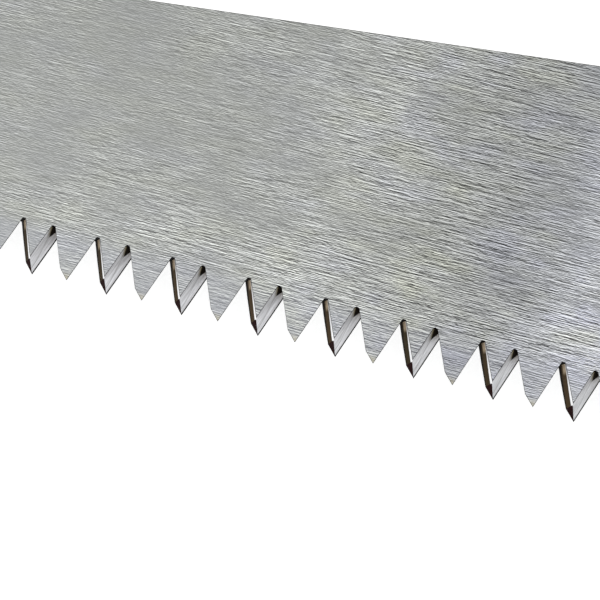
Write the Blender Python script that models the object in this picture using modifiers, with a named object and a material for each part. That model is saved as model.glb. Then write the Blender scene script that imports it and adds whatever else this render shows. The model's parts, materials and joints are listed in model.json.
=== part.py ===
"""Folding pruning saw with a triple ground blade, in metres, +Z up.

It lies on its side, drawn open: toe towards -X, butt towards +X, teeth towards -Y. The blade turns about
the Z axis, and the faces it rests on are at z = 0. Pieces are drawn about the blade's middle plane, then
lifted by their parent.
"""

import math

import bmesh
import bpy
from mathutils import Matrix, Vector

MM = 0.001

# Teeth: s runs along the teeth to the heel, h runs down from the gullets
TOOTH_PITCH = 4.0 * MM
TOOTH_COUNT = 48
TOOTH_DEPTH = 5.2 * MM
TIP_BEVEL_DEPTH = 4.08 * MM
FRONT_FLANK = math.radians(26.0)
REAR_FLANK = math.radians(15.6)
FLEAM = math.radians(31.3)
TIP_TILT = math.radians(26.0)
GULLET_RADIUS = 0.2 * MM

# Blade
BLADE_THICKNESS = 1.4 * MM
HEEL_REACH = 38.0 * MM
HEEL_DROP = 12.3 * MM
HEEL_HEIGHT = 33.0 * MM
TAPER = math.radians(5.75)
TOOTH_LINE_TILT = math.radians(2.5)
SPINE_ARC_START = 24.0 * MM
SPINE_ARC_RADIUS = 340.0 * MM
SHOULDER_CHAMFER = 1.5 * MM
TOE_RADIUS = 8.0 * MM
TOE_SWEEP = math.radians(95.0)
TANG_RADIUS = 14.0 * MM

# Lock lever
LOCK_ANGLE = math.radians(7.5)
LOCK_BEARING = math.radians(100.0)
NOTCH_WIDTH = 5.0 * MM
NOTCH_DEPTH = 2.8 * MM
NOTCH_FLARE = 0.3 * MM
NOSE_TAPER = 0.22 * MM
NOSE_NECK = 1.4 * MM
NOSE_HEIGHT = 4.8 * MM
ARM_LEAD = 1.5 * MM
ARM_UNDERSIDE = 2.2 * MM
ARM_TOP = 5.6 * MM
LEVER_PIN_X = 24.0 * MM
LEVER_PIN_Y = 18.5 * MM
LEVER_BOSS = 5.0 * MM
BOSS_UNDER = (math.radians(235.0), math.radians(356.0))
BOSS_OVER = (math.radians(62.0), math.radians(110.0))
TAIL_HEIGHT = 3.8 * MM
TAIL_LENGTH = 28.3 * MM
TAIL_CHAMFER = 1.0 * MM
TAIL_LEAD = 2.0 * MM

# Thumb pad, pins and spring
PAD_WIDTH = 16.0 * MM
PAD_RISE = 5.2 * MM
PAD_LAP = 2.0 * MM
PAD_LEAD = 1.8 * MM
PAD_OVERHANG = 1.7 * MM
PAD_RAMP_LENGTH = 4.0 * MM
PAD_RAMP_DROP = 2.6 * MM
PAD_REAR_LENGTH = 1.5 * MM
PAD_REAR_DROP = 1.8 * MM
PAD_ROUND = 1.2 * MM
RIDGE_COUNT = 5
RIDGE_DEPTH = 0.8 * MM
PIN_RADIUS = 2.2 * MM
STOP_BEARING = math.radians(128.0)
STOP_REACH = 17.2 * MM
SPRING_RADIUS = 1.5 * MM
SPRING_WIRE = 0.3 * MM
SPRING_TURNS = 5
SPRING_LENGTH = 8.1 * MM
SPRING_INSET = 6.5 * MM

# Handle: front stations are measured from the pivot, rear ones from the butt's end
SHELL_HEIGHT = 12.0 * MM
CROWN_WIDTH = 10.0 * MM
CROWN_HEIGHT = 7.5 * MM
FRONT_RADIUS = 25.0 * MM
GUARD_AT = 12.5 * MM
GUARD_DEPTH = 20.5 * MM
FINGER_AT = 50.0 * MM
FINGER_DEPTH = 9.5 * MM
SWELL_DEPTH = 12.5 * MM
WAIST_AT = 55.5 * MM
WAIST_DEPTH = 9.5 * MM
HOOK_AT = 13.5 * MM
HOOK_DEPTH = 18.5 * MM
BUTT_LENGTH = 17.0 * MM
BUTT_ROUND = 4.0 * MM
SPACER_DEPTH = 6.0 * MM
SPACER_LEAD = 5.0 * MM
BACK_LIP = 1.0 * MM
SHELL_WALL = 3.0 * MM
LINER_THICKNESS = 1.5 * MM
LINER_LAP = 2.5 * MM
LINER_INSET = 2.6 * MM
RIB_PITCH = 28.0 * MM
RIB_WIDTH = 2.0 * MM
RIB_ROOF = 2.2 * MM

# Rubber panels
GRIP_PROUD = 0.5 * MM
GRIP_FLOOR = 2.5 * MM
GRIP_BELLY_INSET = 4.0 * MM
GRIP_BACK_INSET = 10.5 * MM
GRIP_START = 70.0 * MM
GRIP_END_MARGIN = 32.0 * MM
GRIP_END_EASE = 3.5 * MM
GROOVE_WIDTH = 1.4 * MM
GROOVE_DEPTH = 0.9 * MM
GROOVE_PITCH = 9.0 * MM
GROOVE_SLANT = math.radians(-18.0)

# Fasteners and eyelet
BOLT_RADIUS = 4.0 * MM
BOLT_HEAD_RADIUS = 8.5 * MM
BOLT_HEAD_HEIGHT = 2.2 * MM
BOLT_THREAD_RADIUS = 3.0 * MM
BOLT_TIP_INSET = 2.0 * MM
BOLT_SOCKET_DEPTH = 1.6 * MM
HEAD_CHAMFER = 0.8 * MM
THREAD_CHAMFER = 0.5 * MM
NUT_FLANGE = 3.2 * MM
NUT_BARREL_RADIUS = 5.5 * MM
BARREL_SETBACK = 1.0 * MM
BUSH_WALL = 1.9 * MM
WASHER_THICKNESS = 0.5 * MM
WASHER_RADIUS = 10.5 * MM
SPRING_WASHER = 0.8 * MM
SPRING_WASHER_INSET = 0.6 * MM
SCREW_RADIUS = 1.6 * MM
SCREW_HEAD_RADIUS = 2.8 * MM
SCREW_HEAD_HEIGHT = 2.0 * MM
SCREW_SOCKET_RADIUS = 1.2 * MM
SCREW_SOCKET_DEPTH = 1.2 * MM
SCREW_SEAT = 4.6 * MM
SCREW_INSET = 9.0 * MM
SCREW_END_INSET = 36.0 * MM
BUTT_SCREW_INSET = 8.7 * MM
BUTT_SCREW_DROP = 11.5 * MM
NUT_HEIGHT = 2.2 * MM
EYELET_INSET = 9.2 * MM
EYELET_RISE = 0.5 * MM
EYELET_BORE = 4.5 * MM
EYELET_WALL = 1.0 * MM
EYELET_FLANGE = 7.0 * MM
EYELET_LIP = 0.9 * MM
EYELET_CHAMFER = 0.3 * MM

# Clearances
SEAT_GAP = 0.3 * MM
PIN_GAP = 0.2 * MM
SIDE_GAP = 0.4 * MM
STOP_GAP = 0.6 * MM
TIP_CLEARANCE = 2.0 * MM
TOE_CLEARANCE = 2.5 * MM
PAD_CLEARANCE = 0.7 * MM
PAST = 1.0 * MM
FAR = 500.0 * MM

# Facets of round pieces, angles that count as sharp or flat, and how much of a radius an inset takes
WIDE_SIDES = 32
SCREW_SIDES = 20
SMALL_SIDES = 16
HEX = 6
SHARP = math.radians(32.0)
FLAT = math.radians(0.2)
TIGHTEST = 0.9

SLOT_HALF = BLADE_THICKNESS / 2 + 2 * SEAT_GAP + WASHER_THICKNESS
LINER_OUTER = SLOT_HALF + LINER_THICKNESS
SPACER_HALF = SLOT_HALF - SEAT_GAP
LEVER_HALF = SLOT_HALF - SIDE_GAP
REST_HEIGHT = SHELL_HEIGHT + GRIP_PROUD
PIVOT = Vector((0.0, 0.0))
LEVER_PIN = Vector((LEVER_PIN_X, LEVER_PIN_Y))
TAIL_UNDER = LEVER_PIN_Y - SEAT_GAP
TAIL_END = LEVER_PIN_X + TAIL_LENGTH
PAD_START = LEVER_PIN_X + LEVER_BOSS + PAD_LEAD
PAD_END = TAIL_END + PAD_OVERHANG
PAD_UNDER = TAIL_UNDER + TAIL_HEIGHT - PAD_LAP
PAD_TOP = PAD_UNDER + PAD_LAP + PAD_RISE
SPACER_START = TAIL_END + SPACER_LEAD
LINER_END = SPACER_START + LINER_LAP


def clear_scene():
    for item in list(bpy.data.objects):
        bpy.data.objects.remove(item, do_unlink=True)
    for group in list(bpy.data.collections):
        bpy.data.collections.remove(group)


def collection(name):
    group = bpy.data.collections.new(name)
    bpy.context.scene.collection.children.link(group)
    return group


def finish(name, colour, roughness, metallic):
    made = bpy.data.materials.new(name)
    made.use_nodes = True
    shader = made.node_tree.nodes["Principled BSDF"]
    shader.inputs["Base Color"].default_value = (*colour, 1.0)
    shader.inputs["Roughness"].default_value = roughness
    shader.inputs["Metallic"].default_value = metallic
    return made


def polar(radius, angle):
    return Vector((radius * math.cos(angle), radius * math.sin(angle)))


def turned(point, centre, angle):
    return centre + Matrix.Rotation(angle, 2) @ (point - centre)


def arc(centre, radius, start, end, steps):
    return [centre + polar(radius, start + (end - start) * i / steps) for i in range(steps + 1)]


def smooth_loop(points, steps):
    """A closed curve through the points, each stretch eased by its neighbours."""
    count = len(points)
    loop = []
    for i in range(count):
        a, b, c, d = (points[(i + k - 1) % count] for k in range(4))
        for j in range(steps):
            t = j / steps
            loop.append(0.5 * (2 * b + (c - a) * t + (2 * a - 5 * b + 4 * c - d) * t**2
                               + (3 * b - a - 3 * c + d) * t**3))
    return loop


def inset_loop(loop, distance):
    """The loop moved inwards, which is to the left, by less where a corner is too tight for the distance."""
    moved = []
    for i, point in enumerate(loop):
        before = point - loop[i - 1]
        after = loop[(i + 1) % len(loop)] - point
        bend = after.angle_signed(before)
        radius = (before.length + after.length) / 2 / bend if bend > 0 else FAR
        along = (before.normalized() + after.normalized()).normalized()
        left = Vector((-along.y, along.x))
        moved.append(point + left * min(distance, TIGHTEST * radius) / math.cos(bend / 2))
    return moved


def heights_at(loop, x):
    """Lowest and highest point of the loop on the line at x."""
    found = []
    for i, point in enumerate(loop):
        last = loop[i - 1]
        if (last.x - x) * (point.x - x) <= 0 and last.x != point.x:
            found.append(last.y + (point.y - last.y) * (x - last.x) / (point.x - last.x))
    return min(found), max(found)


def loft(bm, rings):
    """Skin closed rings of equal count, in order, and cap both ends."""
    rows = [[bm.verts.new(point) for point in ring] for ring in rings]
    count = len(rows[0])
    for low, high in zip(rows, rows[1:]):
        for i in range(count):
            j = (i + 1) % count
            bm.faces.new((low[i], low[j], high[j], high[i]))
    bm.faces.new(rows[0][::-1])
    bm.faces.new(rows[-1])


def mesh_from(name, bm):
    bmesh.ops.recalc_face_normals(bm, faces=bm.faces)
    mesh = bpy.data.meshes.new(name)
    bm.to_mesh(mesh)
    bm.free()
    return mesh


def mesh_of_curve(curve):
    """The curve as a welded mesh."""
    holder = bpy.data.objects.new("holder", curve)
    bpy.context.scene.collection.objects.link(holder)
    depsgraph = bpy.context.evaluated_depsgraph_get()
    mesh = bpy.data.meshes.new_from_object(holder.evaluated_get(depsgraph))
    bpy.data.objects.remove(holder, do_unlink=True)
    bpy.data.curves.remove(curve)
    bm = bmesh.new()
    bm.from_mesh(mesh)
    bmesh.ops.remove_doubles(bm, verts=bm.verts, dist=0.00001)
    bmesh.ops.recalc_face_normals(bm, faces=bm.faces)
    bm.to_mesh(mesh)
    bm.free()
    return mesh


def join_flats(mesh):
    """The triangles of each flat face joined into one polygon."""
    bm = bmesh.new()
    bm.from_mesh(mesh)
    bmesh.ops.dissolve_limit(bm, angle_limit=FLAT, verts=bm.verts, edges=bm.edges)
    bm.to_mesh(mesh)
    bm.free()
    return mesh


def prism(loop, low, high):
    """A flat outline as a filled 2D curve, as thick as from low to high."""
    curve = bpy.data.curves.new("outline", "CURVE")
    curve.dimensions = "2D"
    curve.fill_mode = "BOTH"
    curve.extrude = (high - low) / 2
    spline = curve.splines.new("POLY")
    spline.points.add(len(loop) - 1)
    for slot, point in zip(spline.points, loop):
        slot.co = (point.x, point.y, 0.0, 1.0)
    spline.use_cyclic_u = True
    mesh = mesh_of_curve(curve)
    mesh.transform(Matrix.Translation((0.0, 0.0, (low + high) / 2)))
    return mesh


def tube(points, radius):
    curve = bpy.data.curves.new("tube", "CURVE")
    curve.dimensions = "3D"
    curve.bevel_depth = radius
    curve.bevel_resolution = 1
    curve.use_fill_caps = True
    spline = curve.splines.new("POLY")
    spline.points.add(len(points) - 1)
    for slot, point in zip(spline.points, points):
        slot.co = (*point, 1.0)
    return mesh_of_curve(curve)


def drum(centre, radius, low, high, sides=WIDE_SIDES):
    bm = bmesh.new()
    bmesh.ops.create_cone(bm, cap_ends=True, segments=sides, radius1=radius, radius2=radius, depth=high - low)
    bmesh.ops.translate(bm, verts=bm.verts, vec=(centre.x, centre.y, (low + high) / 2))
    return mesh_from("drum", bm)


def block(low, high):
    bm = bmesh.new()
    bmesh.ops.create_cube(bm, size=1.0)
    size = Vector(high) - Vector(low)
    bmesh.ops.scale(bm, vec=size, verts=bm.verts)
    bmesh.ops.translate(bm, verts=bm.verts, vec=Vector(low) + size / 2)
    return mesh_from("block", bm)


def round_edges(mesh, width, steps, wanted):
    """Rounds the sharp edges that the test wants, given the middle of each edge."""
    bm = bmesh.new()
    bm.from_mesh(mesh)
    edges = []
    for edge in bm.edges:
        if edge.calc_face_angle(0.0) > SHARP and wanted((edge.verts[0].co + edge.verts[1].co) / 2):
            edges.append(edge)
    bmesh.ops.bevel(bm, geom=edges, offset=width, segments=steps, affect="EDGES", profile=0.5,
                    clamp_overlap=True, material=-1)
    bm.to_mesh(mesh)
    bm.free()
    return mesh


def mirrored(mesh):
    """The same mesh on the other side of the blade's middle plane."""
    other = mesh.copy()
    other.transform(Matrix.Scale(-1.0, 4, (0.0, 0.0, 1.0)))
    other.flip_normals()
    return other


def add(name, mesh, material, parent, smooth=True):
    mesh.name = name
    mesh.materials.clear()
    mesh.materials.append(material)
    if smooth:
        mesh.shade_smooth()
        mesh.set_sharp_from_angle(angle=SHARP)
    piece = bpy.data.objects.new(name, mesh)
    parts.objects.link(piece)
    if parent is lever_axis:
        mesh.transform(Matrix.Translation((-LEVER_PIN.x, -LEVER_PIN.y, 0.0)))
    piece.parent = parent
    return piece


def turn(name, centre, profile, sides, material, parent, bored=False):
    """A turned piece from (radius, z) points, down its outer side and, if bored, up its inner one."""
    if not bored:
        profile = [(0.0, profile[0][1]), *profile, (0.0, profile[-1][1])]
    count = len(profile)
    edges = [(i, (i + 1) % count) for i in range(count if bored else count - 1)]
    mesh = bpy.data.meshes.new(name)
    mesh.from_pydata([(radius, 0.0, z) for radius, z in profile], edges, [])
    piece = add(name, mesh, material, parent, smooth=False)
    piece.location = (centre.x, centre.y, 0.0)
    screw = piece.modifiers.new("turn", "SCREW")
    screw.steps = sides
    screw.render_steps = sides
    screw.use_merge_vertices = True
    screw.merge_threshold = 0.00001
    return piece


def ring(name, centre, inner, outer, low, high, material, parent):
    profile = [(outer, high), (outer, low), (inner, low), (inner, high)]
    return turn(name, centre, profile, WIDE_SIDES, material, parent, bored=True)


def carve(piece, mesh, label, operation="DIFFERENCE"):
    cutter = bpy.data.objects.new(f"{piece.name}_{label}", mesh)
    cutters.objects.link(cutter)
    cutter.parent = root
    cutter.hide_render = True
    cutter.display_type = "WIRE"
    step = piece.modifiers.new(label, "BOOLEAN")
    step.operation = operation
    step.solver = "EXACT"
    step.object = cutter
    return cutter


def empty(name, place, parent):
    axis = bpy.data.objects.new(name, None)
    parts.objects.link(axis)
    axis.empty_display_size = 0.01
    axis.location = place
    axis.parent = parent
    return axis


# Tooth line: a frame along the edge with its start at the heel
ALONG = Vector((math.cos(TOOTH_LINE_TILT), -math.sin(TOOTH_LINE_TILT)))
DOWN = Vector((-math.sin(TOOTH_LINE_TILT), -math.cos(TOOTH_LINE_TILT)))
HEEL = Vector((-HEEL_REACH, -HEEL_DROP))


def edge_point(s, h):
    return HEEL + ALONG * s + DOWN * h


def front_wall(h):
    """Distance from a gullet's middle to the wall on its heel side, at depth h."""
    reach = h - GULLET_RADIUS + GULLET_RADIUS * math.sin(FRONT_FLANK)
    return GULLET_RADIUS * math.cos(FRONT_FLANK) + reach * math.tan(FRONT_FLANK)


def rear_wall(h):
    """Distance from a gullet's middle to the wall on its toe side, at depth h."""
    reach = h - GULLET_RADIUS + GULLET_RADIUS * math.sin(REAR_FLANK)
    return GULLET_RADIUS * math.cos(REAR_FLANK) + reach * math.tan(REAR_FLANK)


def gullet_cutters(first):
    """Grinding wheel paths for every second gullet, leaning to one side through the blade."""
    bm = bmesh.new()
    reach = BLADE_THICKNESS / 2 + PAST / 2
    bottom = TOOTH_DEPTH + PAST
    lean = math.tan(FLEAM) * (1 if first % 2 == 0 else -1)
    start = REAR_FLANK - math.pi / 2
    end = math.pi / 2 - FRONT_FLANK
    profile = [(-rear_wall(bottom), bottom)]
    steps = 4
    for i in range(steps + 1):
        angle = start + (end - start) * i / steps
        profile.append((GULLET_RADIUS * math.sin(angle), GULLET_RADIUS * (1 - math.cos(angle))))
    profile.append((front_wall(bottom), bottom))
    for k in range(first, TOOTH_COUNT, 2):
        rings = []
        for z in (-reach, reach):
            path = [edge_point(s - k * TOOTH_PITCH + lean * z, h) for s, h in profile]
            rings.append([(point.x, point.y, z) for point in path])
        loft(bm, rings)
    return mesh_from("gullets", bm)


def tip_cutters():
    """The third grind: a bevel across each tip, from alternate sides."""
    bm = bmesh.new()
    shift = math.tan(FLEAM) * BLADE_THICKNESS / 2
    spare = PAST / 2
    for k in range(TOOTH_COUNT):
        side = 1 if k % 2 == 0 else -1
        bend_s = -(k + 1) * TOOTH_PITCH - shift + front_wall(TIP_BEVEL_DEPTH)
        bend = Vector((bend_s, TIP_BEVEL_DEPTH))
        tip = Vector((-k * TOOTH_PITCH + shift - rear_wall(TOOTH_DEPTH), TOOTH_DEPTH))
        line = (tip - bend).normalized()
        out = Vector((-line.y, line.x))
        waste = out * (PAST + spare)
        rings = []
        for depth in (-spare, BLADE_THICKNESS + spare):
            start = bend - line * spare - out * depth * math.tan(TIP_TILT)
            end = tip + line * spare - out * depth * math.tan(TIP_TILT)
            z = side * (BLADE_THICKNESS / 2 - depth)
            path = [start, end, end + waste, start + waste]
            rings.append([(*edge_point(point.x, point.y), z) for point in path])
        loft(bm, rings)
    return mesh_from("tips", bm)


def spine_point(s):
    height = HEEL_HEIGHT + math.tan(TAPER) * s
    past = max(0.0, s + SPINE_ARC_START)
    return edge_point(s, -(height - past**2 / (2 * SPINE_ARC_RADIUS)))


def blade_outline():
    """The blank: toothed edge, tang, shoulder, spine and toe, anticlockwise."""
    blank = TOOTH_DEPTH + PAST / 2
    toe = -TOOTH_COUNT * TOOTH_PITCH
    shoulder = STOP_BEARING + math.asin((PIN_RADIUS + SEAT_GAP) / STOP_REACH)
    facing = polar(1.0, shoulder)
    low, high = 0.0, HEEL_REACH
    for _ in range(40):
        corner = (low + high) / 2
        point = spine_point(corner)
        if facing.x * point.y - facing.y * point.x < 0:
            high = corner
        else:
            low = corner
    meet = -math.pi + math.asin(HEEL_DROP / TANG_RADIUS)
    loop = [edge_point(toe + front_wall(blank), blank)]
    loop.append(edge_point(-rear_wall(blank), blank))
    loop.append(edge_point(-rear_wall(GULLET_RADIUS), GULLET_RADIUS))
    loop.append(edge_point(GULLET_RADIUS, 0.0))
    loop += arc(PIVOT, TANG_RADIUS, meet, shoulder, 40)
    loop.append(spine_point(corner) - facing * SHOULDER_CHAMFER)
    steps = 6
    start = corner - SHOULDER_CHAMFER
    for i in range(steps + 1):
        loop.append(spine_point(start - (start + SPINE_ARC_START) * i / steps))
    last = spine_point(toe + TOE_RADIUS / 2)
    ahead = (last - spine_point(toe + TOE_RADIUS)).normalized()
    inward = Vector((-ahead.y, ahead.x))
    begin = math.atan2(-inward.y, -inward.x)
    loop += arc(last + inward * TOE_RADIUS, TOE_RADIUS, begin, begin + TOE_SWEEP, 7)
    loop.append(edge_point(toe, 0.0))
    return loop


def closed_tip_height(x):
    """Height of the tooth tips in the handle when the saw is folded."""
    start = -edge_point(0.0, TOOTH_DEPTH)
    return start.y - (x - start.x) * math.tan(TOOTH_LINE_TILT)


def back_height(x):
    return closed_tip_height(x) + TIP_CLEARANCE + SPACER_DEPTH + BACK_LIP


def handle_outline(butt):
    """Belly with guard, finger hollow, palm swell and hook, then the butt, the back and the round front."""
    waist = butt - WAIST_AT
    hook = butt - HOOK_AT
    third = (waist - FINGER_AT) / 3
    points = [Vector((GUARD_AT, -GUARD_DEPTH))]
    points.append(Vector(((GUARD_AT + FINGER_AT) / 2, -(0.4 * GUARD_DEPTH + 0.6 * FINGER_DEPTH))))
    points.append(Vector((FINGER_AT, -FINGER_DEPTH)))
    points.append(Vector((FINGER_AT + third, -SWELL_DEPTH)))
    points.append(Vector((waist - third, -SWELL_DEPTH)))
    points.append(Vector((waist, -WAIST_DEPTH)))
    points.append(Vector((0.35 * waist + 0.65 * hook, -(0.65 * WAIST_DEPTH + 0.35 * HOOK_DEPTH))))
    points.append(Vector((hook, -HOOK_DEPTH)))
    points.append(Vector((butt - BUTT_ROUND, -0.78 * HOOK_DEPTH)))
    points.append(Vector((butt, -0.15 * HOOK_DEPTH)))
    points.append(Vector((butt - BUTT_ROUND, 0.62 * back_height(butt))))
    steps = 4
    for i in range(steps + 1):
        x = butt - BUTT_LENGTH - (butt - BUTT_LENGTH - FINGER_AT) * i / steps
        points.append(Vector((x, back_height(x))))
    points += arc(PIVOT, FRONT_RADIUS, math.radians(76.0), math.radians(246.0), 5)
    return smooth_loop(points, 4)


def crowned(loop, low, high, width, height, steps):
    """A half handle: straight sides, then an elliptical crown up to the flat."""
    rings = [[(point.x, point.y, low) for point in loop]]
    for i in range(steps + 1):
        angle = math.pi / 2 * i / steps
        level = inset_loop(loop, width * (1 - math.cos(angle)))
        z = high - height + height * math.sin(angle)
        rings.append([(point.x, point.y, z) for point in level])
    bm = bmesh.new()
    loft(bm, rings)
    return mesh_from("crowned", bm)


def grip_outline(loop, end, margin):
    """The rubber panel's outline, further from the back to leave a band for the screws."""
    bottom, top = [], []
    count = 8
    start = GRIP_START - margin
    for i in range(count + 1):
        x = start + (end + margin - start) * i / count
        low, high = heights_at(loop, x)
        ease = 0.0 if 0 < i < count else GRIP_END_EASE
        bottom.append(Vector((x, low + GRIP_BELLY_INSET - margin + ease)))
        top.append(Vector((x, high - GRIP_BACK_INSET + margin - ease)))
    return smooth_loop(bottom + top[::-1], 3)


def spacer_outline(loop, inside):
    """A strip along the back above the folded teeth, turning down to close the butt."""
    inner = inset_loop(loop, BACK_LIP)
    points = [Vector((inside, heights_at(inner, inside)[0]))]
    for point in inner:
        if point.x > (SPACER_START if point.y > 0.0 else inside):
            points.append(point)
    points.append(Vector((SPACER_START, heights_at(inner, SPACER_START)[1])))
    for x in (SPACER_START, inside):
        points.append(Vector((x, closed_tip_height(x) + TIP_CLEARANCE)))
    return points


def lever_outline():
    """Nose tooth, arm, boss and tail, drawn locked and turned back to the pressed pose."""
    out = polar(1.0, LOCK_BEARING)
    side = Vector((-out.y, out.x))
    half = NOTCH_WIDTH / 2 - SEAT_GAP
    foot = half - NOSE_TAPER
    bottom = TANG_RADIUS - NOTCH_DEPTH + SEAT_GAP

    def nose(radius, across):
        return turned(out * radius + side * across, LEVER_PIN, -LOCK_ANGLE)

    loop = [nose(bottom, foot), nose(bottom, -foot), nose(TANG_RADIUS + NOSE_NECK, -half)]
    loop.append(nose(TANG_RADIUS + ARM_UNDERSIDE, -half - ARM_LEAD))
    loop += arc(LEVER_PIN, LEVER_BOSS, *BOSS_UNDER, 8)
    loop.append(Vector((TAIL_END - TAIL_CHAMFER, TAIL_UNDER)))
    loop.append(Vector((TAIL_END, TAIL_UNDER + TAIL_CHAMFER)))
    loop.append(Vector((TAIL_END, TAIL_UNDER + TAIL_HEIGHT)))
    loop.append(Vector((LEVER_PIN.x + LEVER_BOSS + TAIL_LEAD, TAIL_UNDER + TAIL_HEIGHT)))
    loop += arc(LEVER_PIN, LEVER_BOSS, *BOSS_OVER, 4)
    loop.append(nose(TANG_RADIUS + ARM_TOP, -half))
    loop.append(nose(TANG_RADIUS + NOSE_HEIGHT, half))
    return loop


def pad_outline():
    """Side view of the thumb pad, with ridges across its top."""
    loop = [Vector((PAD_START, PAD_UNDER)), Vector((PAD_END, PAD_UNDER))]
    loop.append(Vector((PAD_END, PAD_TOP - PAD_REAR_DROP)))
    first = PAD_END - PAD_REAR_LENGTH
    step = (first - PAD_START - PAD_RAMP_LENGTH - PAD_REAR_LENGTH) / RIDGE_COUNT
    for i in range(RIDGE_COUNT):
        x = first - step * i
        for share, drop in ((0.0, 0.0), (0.55, 0.0), (0.65, RIDGE_DEPTH), (0.9, RIDGE_DEPTH)):
            loop.append(Vector((x - share * step, PAD_TOP - drop)))
    loop.append(Vector((PAD_START + PAD_RAMP_LENGTH, PAD_TOP - RIDGE_DEPTH / 2)))
    loop.append(Vector((PAD_START, PAD_TOP - PAD_RAMP_DROP)))
    return loop


def spring_path(centre, low):
    """Points of the lever spring's helix, which stands along Y."""
    count = SPRING_TURNS * 9
    points = []
    for i in range(count + 1):
        angle = 2 * math.pi * SPRING_TURNS * i / count
        x = centre.x + SPRING_RADIUS * math.cos(angle)
        z = centre.y + SPRING_RADIUS * math.sin(angle)
        points.append(Vector((x, low + SPRING_WIRE + (SPRING_LENGTH - 2 * SPRING_WIRE) * i / count, z)))
    return points


def least_gap(points, radius, skip):
    """Smallest clear distance between turns of a wound tube."""
    gaps = [(a - b).length for i, a in enumerate(points) for b in points[i + skip:]]
    return min(gaps) - 2 * radius


clear_scene()
parts = collection("pruning_saw")
cutters = collection("cutters")
root = empty("saw_root", (0.0, 0.0, REST_HEIGHT), None)
blade_axis = empty("blade_axis", (0.0, 0.0, 0.0), root)
lever_axis = empty("lever_axis", (LEVER_PIN.x, LEVER_PIN.y, 0.0), root)

steel = finish("saw_steel", (0.42, 0.42, 0.41), 0.38, 1.0)
bronze = finish("bearing_bronze", (0.45, 0.29, 0.13), 0.4, 1.0)
liner_steel = finish("liner_steel", (0.3, 0.31, 0.32), 0.5, 1.0)
bright = finish("bright_zinc", (0.55, 0.56, 0.58), 0.3, 1.0)
dark = finish("blackened_steel", (0.05, 0.05, 0.055), 0.45, 1.0)
green = finish("moulded_green", (0.05, 0.11, 0.06), 0.55, 0.0)
rubber = finish("grip_rubber", (0.02, 0.02, 0.021), 0.8, 0.0)
pad_plastic = finish("pad_plastic", (0.03, 0.03, 0.032), 0.5, 0.0)
spacer_plastic = finish("spacer_plastic", (0.04, 0.042, 0.045), 0.6, 0.0)

outline = blade_outline()
toe_x = -min(point.x for point in outline)
pocket_end = toe_x + TOE_CLEARANCE
butt_x = pocket_end + BUTT_LENGTH
profile = handle_outline(butt_x)
grip_end = butt_x - GRIP_END_MARGIN

# Blade with its bush
bush_radius = BOLT_RADIUS + SEAT_GAP + BUSH_WALL
half_blade = BLADE_THICKNESS / 2
blank = join_flats(prism(outline, -half_blade, half_blade))
blade = add("saw_blade", blank, steel, blade_axis, smooth=False)
carve(blade, tip_cutters(), "tips")
carve(blade, gullet_cutters(2), "even_gullets")
carve(blade, gullet_cutters(1), "odd_gullets")
carve(blade, drum(PIVOT, bush_radius + PIN_GAP, -2 * PAST, 2 * PAST), "bush_hole")
for label, bearing in (("open_notch", LOCK_BEARING), ("closed_notch", LOCK_BEARING - math.pi)):
    out = polar(1.0, bearing)
    side = Vector((-out.y, out.x))
    floor = out * (TANG_RADIUS - NOTCH_DEPTH)
    mouth = out * (TANG_RADIUS + 2 * PAST)
    inner = side * NOTCH_WIDTH / 2
    outer = side * (NOTCH_WIDTH / 2 + NOTCH_FLARE)
    notch = [floor - inner, mouth - outer, mouth + outer, floor + inner]
    carve(blade, prism(notch, -2 * PAST, 2 * PAST), label)
ring("pivot_bush", PIVOT, BOLT_RADIUS + SEAT_GAP, bush_radius, -half_blade, half_blade, bronze, blade_axis)

# Lock lever and thumb pad
lever = add("lock_lever", prism(lever_outline(), -LEVER_HALF, LEVER_HALF), dark, lever_axis)
carve(lever, drum(LEVER_PIN, PIN_RADIUS + PIN_GAP, -FAR, FAR, SMALL_SIDES), "pin_hole")
pad_half = PAD_WIDTH / 2
pad_mesh = prism(pad_outline(), -pad_half, pad_half)
round_edges(pad_mesh, PAD_ROUND, 2, lambda at: abs(at.z) > pad_half - PIN_GAP and at.y > PAD_UNDER + PIN_GAP)
pad = add("thumb_pad", pad_mesh, pad_plastic, lever_axis)
slot_low = (LEVER_PIN.x, LEVER_PIN.y - FAR, -LEVER_HALF - SEAT_GAP)
slot_high = (TAIL_END + SEAT_GAP, TAIL_UNDER + TAIL_HEIGHT + SEAT_GAP, LEVER_HALF + SEAT_GAP)
carve(pad, block(slot_low, slot_high), "tail_slot")

# Pins and lever spring
pin_end = LINER_OUTER + SEAT_GAP - PIN_GAP
open_stop = polar(STOP_REACH, STOP_BEARING)
closed_stop = Vector((LEVER_PIN.x + LEVER_BOSS + PIN_RADIUS + STOP_GAP, HEEL_DROP + SEAT_GAP + PIN_RADIUS))
pins = {"lever_pin": LEVER_PIN, "open_stop_pin": open_stop, "closed_stop_pin": closed_stop}
for label, spot in pins.items():
    add(label, drum(spot, PIN_RADIUS, -pin_end, pin_end, SMALL_SIDES), bright, root)
spring_at = Vector((TAIL_END - SPRING_INSET, LINER_OUTER + SEAT_GAP + SPRING_RADIUS + 2 * SPRING_WIRE))
spring_low = PAD_UNDER - SEAT_GAP - SPRING_LENGTH
helix = spring_path(spring_at, spring_low)
print("lever spring, least gap between turns in mm:", round(least_gap(helix, SPRING_WIRE, 6) / MM, 2))
add("lever_spring", tube(helix, SPRING_WIRE), bright, root)

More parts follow.
